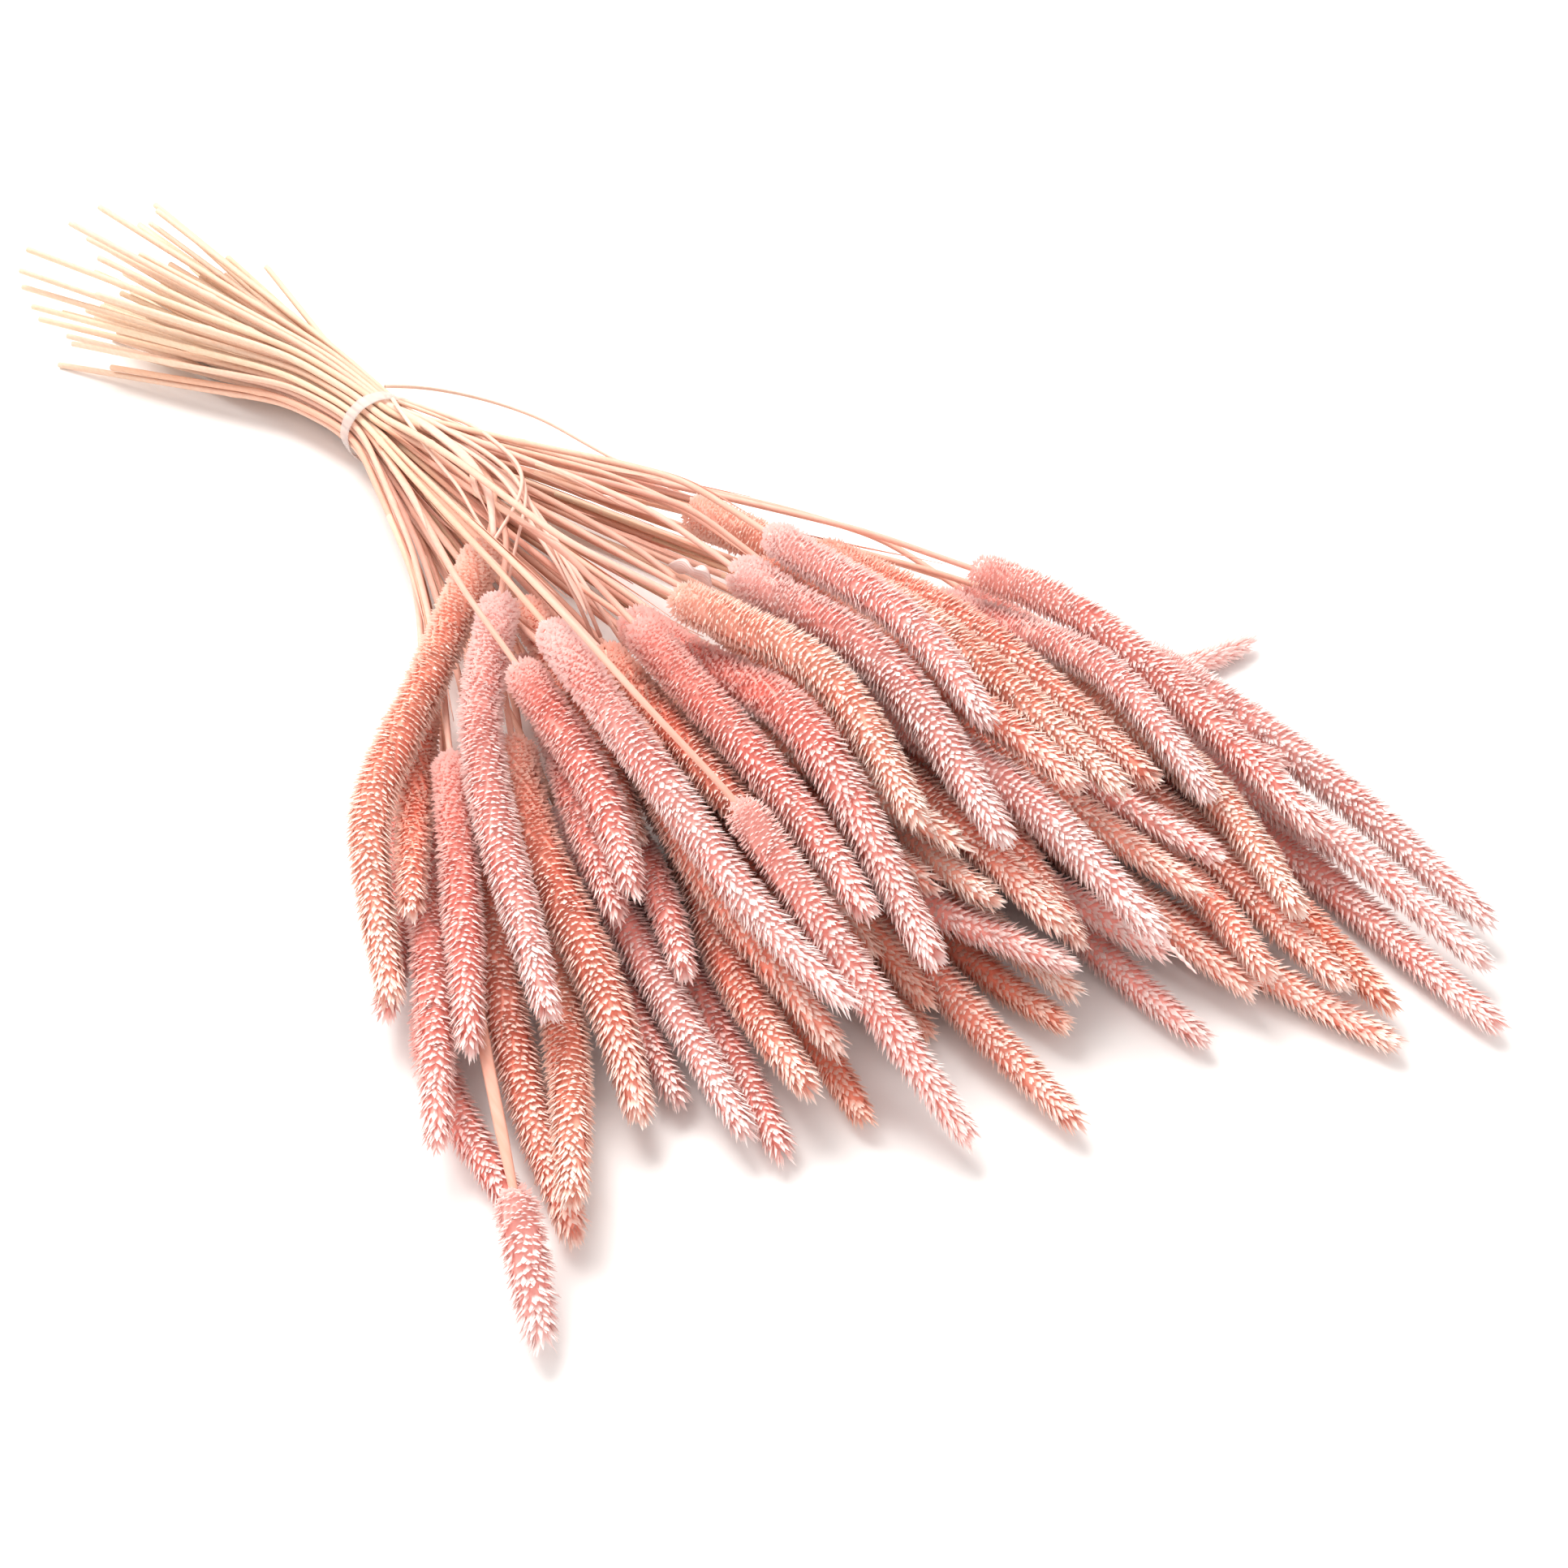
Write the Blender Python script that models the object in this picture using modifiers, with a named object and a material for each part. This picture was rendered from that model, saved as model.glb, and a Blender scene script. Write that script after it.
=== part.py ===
"""Dried timothy grass: a tied bunch of dyed seed heads on straw stems, lying on a flat surface.

Each stalk is one grown piece, a thin straw stem with a dense cylindrical seed head at its end. The
stalks run through one narrow tie, fan out on the head side and splay on the cut side. The heads lie
in layers on each other, and the tie and the lowest heads rest on the ground.

Lengths are in millimetres until a mesh is written, which is in metres. While the bunch is laid out,
the tie stands over the origin, +X runs from the tie to the heads, and Z is the height above ground.
"""

import math
from collections import namedtuple

import bmesh
import bpy
import numpy as np

METRES = 0.001
GAP = 0.3

# The stem
CULM_RADIUS = 0.85
CULM_NECK_RADIUS = 0.62
CULM_SIDES = 3
CULM_STEP = 27.0
JOINT_SWELL = 0.1
NECK_LENGTH = 1.5
APPROACH = 0.2
APPROACH_RISE = 0.5

# The seed head
HEAD_RADIUS = 4.9
HEAD_SIDES = 6
HEAD_STEP = 7.4
HEAD_TAPER = 0.42
SPIKELET_DEPTH = 0.19
SPIKELET_LEAN = 1.5
PRESSED = 1.1
BASE_ROUNDING = 0.5
TIP_ROUNDING = 2.4

# The tie
TIE_WIDTH = 4.6
TIE_THICKNESS = 0.9
TIE_SIDES = 20
TIE_ROOM = 5.0
SLOT_PITCH = 2 * CULM_RADIUS + GAP
SLOTS_RADIUS = 8.75
TIE_INNER = (SLOTS_RADIUS + CULM_RADIUS + GAP) / math.cos(math.pi / TIE_SIDES)
TIE_HEIGHT = (TIE_INNER + TIE_THICKNESS) * math.cos(math.pi / TIE_SIDES)
FUSED_COLUMNS = 8

# The cut side
CUT_LENGTH = 107.0
CUT_SCATTER = 20.0
CUT_BEND = 17.0
CUT_FLARE = 20.0
CUT_LIFT = 9.0
CUT_TWIST = 50.0

# The dried leaves that lie on the stems, and how far they sink in each round of the settling
LEAF_THICKNESS = 0.65
LEAF_SINKING = 0.012

# Rounds, hold and stiffness of each phase of the settling
SETTLING = ((300, 1.0, 0.3), (200, 0.3, 0.2), (260, 0.0, 0.03))

SEED = 7

Stalk = namedtuple(
    "Stalk", "turn reach height tip_turn tip_reach tip_height bow girth dye sway", defaults=(0,)
)
# turn, tip_turn: bearing of the head's root and of its tip from the tie, in degrees, + is +Y
# reach, tip_reach: distance of the root and of the tip from the tie
# height, tip_height: height of the root and of the tip above the ground
# bow: how far the middle of the head lies to the +Y side of the straight line
# girth: thickness as a share of the usual one
# sway: how far the stem swings to the +Y side between the tie and the root
STALKS = (
    Stalk(-8, 87, 30, -26, 208, 12, -7, 1.05, "peach", 6),
    Stalk(-11, 113, 33, -18, 224, 21, -6, 1.03, "blush", 5),
    Stalk(-14, 148, 22, -15, 242, 7, -2, 1.12, "salmon"),
    Stalk(-21, 147, 20, -22, 224, 15, 0, 0.95, "rose", 4),
    Stalk(-19, 140, 12, -19, 261, 5, -3, 1.03, "salmon", 4),
    Stalk(-13, 145, 8, -19, 259, 11, 2, 1.08, "peach"),
    Stalk(-21, 110, 10, -24, 193, 15, 1, 0.9, "salmon", 3),
    Stalk(-21, 126, 5, -26, 205, 8, 2, 0.9, "rose", 6),
    Stalk(-22.5, 168, 6, -21, 253, 4, -9, 0.95, "rose", 12),
    Stalk(-22, 142, 6, -24, 241, 10, 1, 0.95, "rose", 6),
    Stalk(-21, 251, 10, -21, 281, 4, 0, 0.95, "blush", 6),
    Stalk(-10, 146, 6, -13, 238, 5, -3, 0.95, "rose"),
    Stalk(-13, 141, 35, -12, 205, 27, 3, 1.0, "rose"),
    Stalk(-9, 112, 18, -13, 204, 20, 2, 0.95, "rose"),
    Stalk(-10, 138, 38, -5, 247, 23, -3, 0.98, "blush"),
    Stalk(-6, 203, 36, -3, 273, 5, 1, 0.95, "rose"),
    Stalk(-8, 105, 24, -9, 190, 22, -1, 0.92, "salmon"),
    Stalk(-7, 136, 13, -11, 221, 17, 2, 0.95, "rose"),
    Stalk(-9, 159, 20, -8, 252, 12, 0, 1.05, "salmon"),
    Stalk(-12, 163, 12, -11, 252, 7, -1, 0.95, "blush"),
    Stalk(-9, 168, 5, -10, 257, 4, 2, 0.95, "rose"),
    Stalk(-9, 165, 27, -6, 248, 13, -2, 0.95, "salmon"),
    Stalk(-5, 177, 6, -6, 257, 4, 0, 0.9, "tan"),
    Stalk(-1, 130, 33, -1, 248, 25, 8, 1.1, "rose"),
    Stalk(0, 147, 44, 2, 226, 38, 8, 1.03, "peach"),
    Stalk(-2, 145, 39, -3, 234, 30, 3, 1.0, "rose"),
    Stalk(-4, 136, 29, -3, 226, 23, 1, 0.95, "salmon"),
    Stalk(-2, 145, 20, -2, 233, 16, 2, 0.92, "tan"),
    Stalk(-2, 161, 26, 4, 230, 28, 0, 0.92, "peach"),
    Stalk(2, 153, 17, 2, 232, 21, -1, 0.9, "salmon"),
    Stalk(3, 153, 25, 4, 241, 21, -2, 0.95, "peach"),
    Stalk(1, 176, 16, 5, 258, 16, -4, 0.92, "rose"),
    Stalk(2, 180, 13, 5, 259, 11, -3, 0.92, "peach"),
    Stalk(2, 182, 9, 4, 262, 7, 0, 0.9, "tan"),
    Stalk(1, 185, 6, 1, 279, 5, 0, 0.98, "salmon"),
    Stalk(-1, 164, 13, -1, 244, 10, 0, 0.9, "tan"),
    Stalk(-1, 162, 7, -2, 246, 7, 1, 0.92, "salmon"),
    Stalk(-1, 166, 5, -1, 246, 4, 0, 0.92, "tan"),
    Stalk(9, 143, 41, 5, 236, 35, 7, 1.12, "blush"),
    Stalk(8, 136, 30, 5, 253, 21, 2, 1.05, "salmon"),
    Stalk(13, 142, 36, 10, 236, 32, -1, 1.0, "salmon"),
    Stalk(12, 143, 45, 9, 217, 42, 2, 0.95, "blush"),
    Stalk(17, 111, 32, 12, 242, 33, 9, 1.1, "peach"),
    Stalk(22, 139, 26, 15, 241, 25, 8, 1.0, "salmon"),
    Stalk(23, 178, 29, 18, 274, 19, 9, 1.0, "rose"),
    Stalk(23, 169, 21, 16, 254, 24, 7, 0.95, "blush"),
    Stalk(28, 170, 15, 20, 258, 11, 3, 0.95, "rose"),
    Stalk(22, 190, 18, 14, 280, 17, 9, 1.0, "peach"),
    Stalk(16, 177, 22, 14, 261, 19, -1, 0.95, "rose"),
    Stalk(12, 174, 24, 12, 264, 17, -1, 0.95, "salmon"),
    Stalk(8, 180, 31, 8, 267, 23, 3, 1.05, "blush"),
    Stalk(8, 180, 12, 9, 266, 12, -1, 0.95, "rose"),
    Stalk(11, 177, 15, 6, 255, 16, 2, 0.9, "salmon"),
    Stalk(9, 186, 6, 8, 281, 4, 0, 0.95, "rose"),
    Stalk(12, 202, 9, 11, 282, 6, 0, 0.9, "salmon"),
    Stalk(18, 208, 6, 11, 283, 12, 2, 0.9, "salmon"),
    Stalk(20, 201, 10, 13, 294, 9, 3, 0.98, "salmon"),
    Stalk(20, 215, 7, 14, 303, 6, 4, 0.98, "tan"),
    Stalk(12, 213, 5, 13, 308, 4, -1, 0.95, "salmon"),
    Stalk(22, 212, 6, 16, 321, 4, 5, 0.98, "rose"),
    Stalk(22, 216, 13, 18, 313, 7, 1, 0.95, "blush"),
    Stalk(25, 216, 15, 20, 310, 7, 7, 1.0, "blush"),
    Stalk(27, 198, 9, 22, 272, 5, 3, 0.9, "rose"),
    Stalk(27, 198, 4, 35, 236, 3, -6, 0.72, "rose"),
)

Leaf = namedtuple("Leaf", "turn reach height length heading radius")
# heading: direction that the leaf lies in, in degrees; radius: of the gutter that it is rolled into
LEAVES = (
    Leaf(9.0, 126.5, 32.5, 9, 22, 2.1),
    Leaf(-2.5, 68, 32.5, 34, -17, 1.3),
    Leaf(-1, 101, 33.5, 42, -12, 1.2),
)

# Base colour, roughness
FINISHES = {
    "rose": ((0.86, 0.42, 0.40), 0.85),
    "blush": ((0.92, 0.60, 0.55), 0.85),
    "salmon": ((0.84, 0.38, 0.30), 0.85),
    "peach": ((0.90, 0.56, 0.44), 0.85),
    "tan": ((0.72, 0.42, 0.29), 0.85),
    "straw": ((0.83, 0.64, 0.45), 0.6),
    "band": ((0.93, 0.90, 0.88), 0.35),
    "leaf": ((0.90, 0.70, 0.62), 0.7),
}


# The layout of the bunch


def on_bearing(degrees, reach):
    """The point on the ground plan at this bearing and distance from the tie."""
    angle = math.radians(degrees)
    return np.array([math.cos(angle), math.sin(angle)]) * reach


def tie_slots(count):
    """The stems' places in the tie's cross-section: the points of a honeycomb nearest to its middle."""
    column_pitch = SLOT_PITCH * math.sqrt(3) / 2
    points = [
        (column * column_pitch, (row + 0.5 * (column % 2)) * SLOT_PITCH)
        for column in range(-6, 7)
        for row in range(-7, 8)
    ]
    points.sort(key=lambda p: (round(math.hypot(p[0], p[1]), 3), p[0], p[1]))
    return points[:count]


def columns_of(slots):
    """The slots grouped by their sideways place, each group sorted from the lowest up."""
    sideways = sorted({round(y, 3) for y, _ in slots})
    return [sorted(s for s in slots if round(s[0], 3) == y) for y in sideways]


def seats_in_tie(approaches):
    """For each stalk its slot, so that the stems fan out of the tie without crossing.

    The bearing of the stem's approach point chooses the column, and its slope the place in it.
    """
    order = sorted(range(len(approaches)), key=lambda i: approaches[i][1] / approaches[i][0])
    columns = columns_of(tie_slots(len(approaches)))
    seats = [None] * len(approaches)
    fused = []
    for column in columns:
        members, order = order[: len(column)], order[len(column) :]
        members.sort(key=lambda i: (approaches[i][2] - TIE_HEIGHT) / approaches[i][0])
        for stalk, slot in zip(members, column):
            seats[stalk] = slot
        fused.append(tuple(members[:2]))
    spare = (len(columns) - FUSED_COLUMNS) // 2
    return seats, fused[spare : spare + FUSED_COLUMNS]


def curve_through(points, steps):
    """A smooth curve through the points (Catmull-Rom), sampled at even distances."""
    points = np.asarray(points, float)
    padded = np.vstack([2 * points[0] - points[1], points, 2 * points[-1] - points[-2]])
    share = np.linspace(0, 1, 24, endpoint=False)[:, None]
    pieces = []
    for a, b, c, d in zip(padded, padded[1:], padded[2:], padded[3:]):
        pieces.append(
            0.5
            * (
                2 * b
                + (c - a) * share
                + (2 * a - 5 * b + 4 * c - d) * share**2
                + (3 * b - a - 3 * c + d) * share**3
            )
        )
    dense = np.vstack(pieces + [points[-1:]])
    run = np.concatenate([[0], np.cumsum(np.linalg.norm(np.diff(dense, axis=0), axis=1))])
    at = np.linspace(0, run[-1], steps + 1)
    return np.stack([np.interp(at, run, dense[:, k]) for k in range(3)], axis=1)


def steps_for(length, step, least):
    return max(least, round(length / step))


def head_line(stalk):
    """The head's middle line from root to tip, bowed sideways."""
    root = np.append(on_bearing(stalk.turn, stalk.reach), stalk.height)
    tip = np.append(on_bearing(stalk.tip_turn, stalk.tip_reach), stalk.tip_height)
    along = (tip - root)[:2]
    side = np.array([-along[1], along[0], 0]) / math.hypot(along[0], along[1])
    middle = (root + tip) / 2 + side * stalk.bow
    length = np.linalg.norm(tip - root)
    return curve_through([root, middle, tip], steps_for(length, HEAD_STEP, 4))


def approach_point(head):
    """A point before the head's root, in line with the head but flatter, that its stem comes through."""
    inward = (head[0] - head[2]) * [1, 1, APPROACH_RISE]
    inward /= np.linalg.norm(inward)
    return head[0] + inward * math.hypot(head[0][0], head[0][1]) * APPROACH


def culm_line(seat, head, approach, sway):
    """The stem's middle line from the tie through its approach point to the head's root."""
    start = np.array([TIE_ROOM, seat[0], TIE_HEIGHT + seat[1]])
    middle = (start + approach) / 2 + np.array([0, sway, 0])
    span = np.linalg.norm(head[0] - start)
    line = curve_through([start, middle, approach, head[0]], steps_for(span, CULM_STEP, 3))
    return line[:-1]


def cut_line(seat, draw):
    """The stem's middle line from its cut end to the tie, splayed outwards from its slot."""
    start = np.array([-TIE_ROOM, seat[0], TIE_HEIGHT + seat[1]])
    angle = math.atan2(seat[1], seat[0]) + math.radians(CUT_TWIST)
    share = math.hypot(seat[0], seat[1]) / (4.5 * SLOT_PITCH)
    turn = CUT_BEND - CUT_FLARE * share * math.cos(angle) + draw.uniform(-4, 4)
    lift = CUT_LIFT * (0.15 + share * math.sin(angle)) + draw.uniform(-2, 2)
    length = CUT_LENGTH + draw.uniform(-CUT_SCATTER, CUT_SCATTER)
    turn, lift = math.radians(turn), math.radians(lift)
    away = np.array([-math.cos(turn), -math.sin(turn), math.sin(lift)])
    knee = start + np.array([-14.0, 0, 0]) + away * 4
    end = knee + away * (length - 20)
    return curve_through([end, (end + knee) / 2, knee, start], steps_for(length, CULM_STEP, 3))


def leaf_line(leaf):
    """The middle line of a rolled dried leaf, with a slight arch."""
    middle = np.append(on_bearing(leaf.turn, leaf.reach), leaf.height)
    half = np.append(on_bearing(leaf.heading, leaf.length / 2), 0)
    lift = np.array([0, 0, 0.06 * leaf.length])
    return curve_through([middle - half, middle + lift, middle + half], steps_for(leaf.length, 5, 3))


# The settling of the bunch: every stem and head is a chain of round links that may not overlap


def head_radii(stalk, count):
    """The head's radius at each point of its line: even, then narrowing to the tip."""
    share = np.linspace(0, 1, count)
    narrowing = np.clip((share - 0.45) / 0.55, 0, 1)
    return HEAD_RADIUS * stalk.girth * (1 - HEAD_TAPER * narrowing**2)


class Bunch:
    """All chains of the bunch in flat arrays, and the steps that settle them."""

    def __init__(self):
        self.points = []
        self.links = []
        self.chains = []
        self.count = 0

    def add(self, line, radii, pinned, pull, sinking=0.0):
        """Adds a chain. radii has (start, end) for each link; pull is each point's hold on its place."""
        first = self.count
        self.points.append((line, pinned, pull, np.full(len(line), sinking)))
        for k, (start, end) in enumerate(radii):
            self.links.append((first + k, first + k + 1, start, end, len(self.chains)))
        self.chains.append((first, len(line)))
        self.count += len(line)

    def close(self):
        """Turns what was added into arrays."""
        self.at = np.vstack([p[0] for p in self.points])
        self.home = self.at.copy()
        self.pinned = np.concatenate([p[1] for p in self.points])
        self.pull = np.concatenate([p[2] for p in self.points])[:, None] * [1, 1, 0.35]
        self.sinking = np.concatenate([p[3] for p in self.points])
        table = np.array(self.links)
        self.a, self.b, self.chain = (table[:, k].astype(int) for k in (0, 1, 4))
        self.radius_a, self.radius_b = table[:, 2], table[:, 3]
        self.length = np.linalg.norm(self.at[self.b] - self.at[self.a], axis=1)
        joined = self.b[:-1] == self.a[1:]
        self.before, self.here, self.after = (
            self.a[:-1][joined],
            self.b[:-1][joined],
            self.b[1:][joined],
        )
        total = self.length[:-1][joined] + self.length[1:][joined]
        self.lean = (self.length[:-1][joined] / total)[:, None]
        self.bend = self.at[self.here] - self.between()
        self.ground = np.zeros(self.count)
        np.maximum.at(self.ground, self.a, self.radius_a)
        np.maximum.at(self.ground, self.b, self.radius_b)

    def between(self):
        """The point on the straight line between each inner point's neighbours."""
        return self.at[self.before] * (1 - self.lean) + self.at[self.after] * self.lean

    def neighbours(self, reach):
        """Pairs of links of different chains that are near enough to meet within a few steps."""
        middle = (self.at[self.a] + self.at[self.b]) / 2
        size = self.length / 2 + np.maximum(self.radius_a, self.radius_b) + reach / 2
        first, second = np.triu_indices(len(middle), 1)
        apart = ((middle[first] - middle[second]) ** 2).sum(axis=1)
        near = (apart < (size[first] + size[second]) ** 2) & (self.chain[first] != self.chain[second])
        held = self.pinned[self.a] & self.pinned[self.b]
        near &= ~(held[first] & held[second])
        return first[near], second[near]

    def closest(self, first, second):
        """For each pair of links the shares along them, the vector and the distance between them."""
        p, q = self.at[self.a[first]], self.at[self.a[second]]
        u, v = self.at[self.b[first]] - p, self.at[self.b[second]] - q
        w = p - q
        uu, vv, uv = (u * u).sum(1), (v * v).sum(1), (u * v).sum(1)
        uw, vw = (u * w).sum(1), (v * w).sum(1)
        spread = np.maximum(uu * vv - uv * uv, 1e-9)
        s = np.clip((uv * vw - uw * vv) / spread, 0, 1)
        t = (uv * s + vw) / vv
        s = np.where(t < 0, np.clip(-uw / uu, 0, 1), np.where(t > 1, np.clip((uv - uw) / uu, 0, 1), s))
        t = np.clip(t, 0, 1)
        way = w + u * s[:, None] - v * t[:, None]
        return s, t, way, np.sqrt((way * way).sum(1))

    def clearance(self, first, second):
        """How far the surfaces of each pair of links are apart, with what closest says."""
        s, t, way, apart = self.closest(first, second)
        radius_1 = self.radius_a[first] * (1 - s) + self.radius_b[first] * s
        radius_2 = self.radius_a[second] * (1 - t) + self.radius_b[second] * t
        return apart - radius_1 - radius_2, s, t, way, apart

    def push_apart(self, first, second, gap, share):
        """Moves links that are nearer than the gap away from each other, the thinner one further."""
        clear, s, t, way, apart = self.clearance(first, second)
        close = clear < gap
        first, second, s, t, way = first[close], second[close], s[close], t[close], way[close]
        way = way / np.maximum(apart[close], 1e-6)[:, None]
        way[:, 2] += np.where(np.abs(way[:, 2]) < 0.25, 0.25 * np.sign(way[:, 2] + 1e-9), 0)
        size_1, size_2 = self.radius_a[first], self.radius_a[second]
        weight = size_2 / (size_1 + size_2)
        missing = (gap - clear[close])[:, None] * way * share
        shift = np.zeros_like(self.at)
        hits = np.zeros(self.count)
        for ends, amount, moved in (
            (self.a[first], 1 - s, missing * weight[:, None]),
            (self.b[first], s, missing * weight[:, None]),
            (self.a[second], 1 - t, -missing * (1 - weight)[:, None]),
            (self.b[second], t, -missing * (1 - weight)[:, None]),
        ):
            for k in range(3):
                shift[:, k] += np.bincount(ends, moved[:, k] * amount, self.count)
            hits += np.bincount(ends, amount, self.count)
        self.at += shift / np.maximum(hits, 1)[:, None] * 1.6

    def keep_lengths(self):
        """Brings each link half-way back to its own length."""
        way = self.at[self.b] - self.at[self.a]
        now = np.sqrt((way * way).sum(1))
        change = way * ((now - self.length) / now * 0.25)[:, None]
        np.add.at(self.at, self.a, change)
        np.add.at(self.at, self.b, -change)

    def keep_bends(self, share):
        """Brings each inner point towards the curve that it was laid out in."""
        change = (self.between() + self.bend - self.at[self.here]) * share
        np.add.at(self.at, self.here, change)
        np.add.at(self.at, self.before, -change / 2)
        np.add.at(self.at, self.after, -change / 2)

    def settle(self, rounds, hold, stiffness):
        """Repeats the steps. hold is the share of each point's pull towards its place."""
        for turn in range(rounds):
            if turn % 12 == 0:
                first, second = self.neighbours(5.0)
                self.at = np.round(self.at, 4)
            self.at += (self.home - self.at) * self.pull * hold
            self.at[:, 2] -= self.sinking
            self.keep_bends(stiffness)
            self.keep_lengths()
            self.push_apart(first, second, GAP + 0.15, 0.6)
            self.at[:, 2] = np.maximum(self.at[:, 2], self.ground)
            self.at[self.pinned] = self.home[self.pinned]

    def tightest(self):
        """The smallest clearance between two chains."""
        first, second = self.neighbours(2.0)
        return self.clearance(first, second)[0].min()

    def line(self, chain):
        first, count = self.chains[chain]
        return self.at[first : first + count]


def add_stalk(bunch, stalk, seat, head, draw):
    """Lays one stalk out and returns how many of its points belong to the cut side and to the stem."""
    cut = cut_line(seat, draw)
    culm = culm_line(seat, head, approach_point(head), stalk.sway)
    line = np.vstack([cut, culm, head])
    stem = len(cut) + len(culm)
    girths = head_radii(stalk, len(head))
    radii = [(CULM_RADIUS, CULM_RADIUS)] * stem + list(zip(girths, girths[1:]))
    pinned = np.zeros(len(line), bool)
    pinned[len(cut) - 1 : len(cut) + 1] = True
    pull = np.concatenate([np.full(stem, 0.01), np.full(len(head), 0.06)])
    bunch.add(line, radii, pinned, pull)
    return len(cut), stem


def add_leaf(bunch, leaf):
    line = leaf_line(leaf)
    radii = [(leaf.radius, leaf.radius)] * (len(line) - 1)
    bunch.add(line, radii, np.zeros(len(line), bool), np.full(len(line), 0.05), LEAF_SINKING)


# The meshes


def frames_along(line, first_side):
    """The line's direction at each point, and two sideways vectors that turn as little as they can."""
    steps = np.diff(line, axis=0)
    steps /= np.linalg.norm(steps, axis=1)[:, None]
    ahead = np.vstack([steps[:1], steps[:-1] + steps[1:], steps[-1:]])
    ahead /= np.linalg.norm(ahead, axis=1)[:, None]
    side = np.zeros_like(line)
    side[0] = first_side - ahead[0] * (first_side @ ahead[0])
    for k in range(1, len(line)):
        side[k] = side[k - 1] - ahead[k] * (side[k - 1] @ ahead[k])
    side /= np.linalg.norm(side, axis=1)[:, None]
    return ahead, side, np.cross(ahead, side)


def ring(centre, side, up, angles, radii):
    """Points round a centre, in the plane of the two sideways vectors."""
    return centre + np.outer(np.cos(angles) * radii, side) + np.outer(np.sin(angles) * radii, up)


def culm_rings(line, side, up, turn):
    """Triangular rings along the stem, thinner towards the neck, with a slight swelling at the joints."""
    angles = math.radians(turn) + np.arange(CULM_SIDES) * 2 * math.pi / CULM_SIDES
    share = np.linspace(0, 1, len(line))
    radii = CULM_RADIUS + (CULM_NECK_RADIUS - CULM_RADIUS) * np.clip(2 * share - 1, 0, 1)
    radii -= JOINT_SWELL * (np.arange(len(line)) % 2)
    return [
        ring(line[k], side[k], up[k], angles, np.full(CULM_SIDES, radii[k]))
        for k in range(len(line))
    ]


def head_rings(stalk, line, ahead, side, up):
    """Six-sided rings, each turned by half a side, in which every third point is a raised spikelet.

    The raised points of one ring stand between those of the last, so that they wind round the head.
    """
    radii = head_radii(stalk, len(line))
    base = line[0] + ahead[0] * BASE_ROUNDING
    sectors = 2 * math.pi / HEAD_SIDES
    rings = []
    for k in range(len(line)):
        number = np.arange(HEAD_SIDES)
        raised = (number - k) % 3 == 0
        radius = radii[k] * np.where(raised, 0.97, 1 - SPIKELET_DEPTH)
        centre, lean = line[k], np.where(raised, SPIKELET_LEAN, 0.0)
        if k == 0:
            centre, radius, lean = base, radius * 0.8, lean * 0
        if k == len(line) - 1:
            centre, radius, lean = line[k] - ahead[k] * TIP_ROUNDING, radius * 0.6, lean * 0.4
        angles = (number + k / 2) * sectors
        points = ring(centre, side[k], up[k], angles, radius) + np.outer(lean, ahead[k])
        points[points[:, 2] < PRESSED, 2] = 0
        rings.append(points)
    return rings


def band_faces(first, second, sides):
    """Quads between two rings with the same number of points."""
    pairs = [(i, (i + 1) % sides) for i in range(sides)]
    return [(first + i, first + j, second + j, second + i) for i, j in pairs]


def neck_faces(first, second):
    """Triangles between the stem's last ring and the head's first ring, which has twice its points."""
    faces = []
    for i in range(CULM_SIDES):
        low, high = first + i, first + (i + 1) % CULM_SIDES
        left, middle, right = second + 2 * i, second + 2 * i + 1, second + 2 * ((i + 1) % CULM_SIDES)
        faces += [(low, middle, left), (low, high, middle), (high, right, middle)]
    return faces


def staggered_faces(first, second):
    """Triangles between two head rings of which the second is turned by half a side."""
    faces = []
    for i in range(HEAD_SIDES):
        j = (i + 1) % HEAD_SIDES
        faces += [(first + i, first + j, second + i), (first + j, second + j, second + i)]
    return faces


def with_neck(line, stem_count):
    """The line with one more point close before the head's root, where the stem is still thin."""
    root = line[stem_count]
    back = line[stem_count - 1] - root
    return np.insert(line, stem_count, root + back / np.linalg.norm(back) * NECK_LENGTH, axis=0)


def stalk_shape(stalk, line, cut_count, stem_count, towards):
    """Vertices, faces and each face's material (0 stem, 1 head) of one stalk.

    towards is the angle, in the tie's cross-section, that one flat side of the stem faces.
    """
    line = with_neck(line, stem_count)
    stem_count += 1
    tie_point = cut_count - 1
    back = line[: tie_point + 1][::-1]
    front = line[tie_point:]
    start = np.array([0.0, 1.0, 0.0])
    ahead_b, side_b, _ = frames_along(back, start)
    ahead_f, side_f, _ = frames_along(front, start)
    ahead = np.vstack([-ahead_b[::-1], ahead_f[1:]])
    side = np.vstack([side_b[::-1], side_f[1:]])
    up = np.cross(ahead, side)
    turn = math.degrees(towards) - 180 / CULM_SIDES
    rings = culm_rings(line[:stem_count], side, up, turn)
    rings += head_rings(stalk, line[stem_count:], ahead[stem_count:], side[stem_count:], up[stem_count:])
    points = np.vstack(rings)
    starts = np.cumsum([0] + [len(r) for r in rings])
    faces = [tuple(range(CULM_SIDES))[::-1]]
    for k in range(stem_count - 1):
        faces += band_faces(starts[k], starts[k + 1], CULM_SIDES)
    stem_faces = len(faces)
    faces += neck_faces(starts[stem_count - 1], starts[stem_count])
    for k in range(stem_count, len(rings) - 1):
        faces += staggered_faces(starts[k], starts[k + 1])
    tip = len(points)
    points = np.vstack([points, line[-1] - ahead[-1] * 0.3])
    last = starts[-2]
    faces += [(last + i, last + (i + 1) % HEAD_SIDES, tip) for i in range(HEAD_SIDES)]
    kinds = [0] * stem_faces + [1] * (len(faces) - stem_faces)
    return points, faces, kinds


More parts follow.
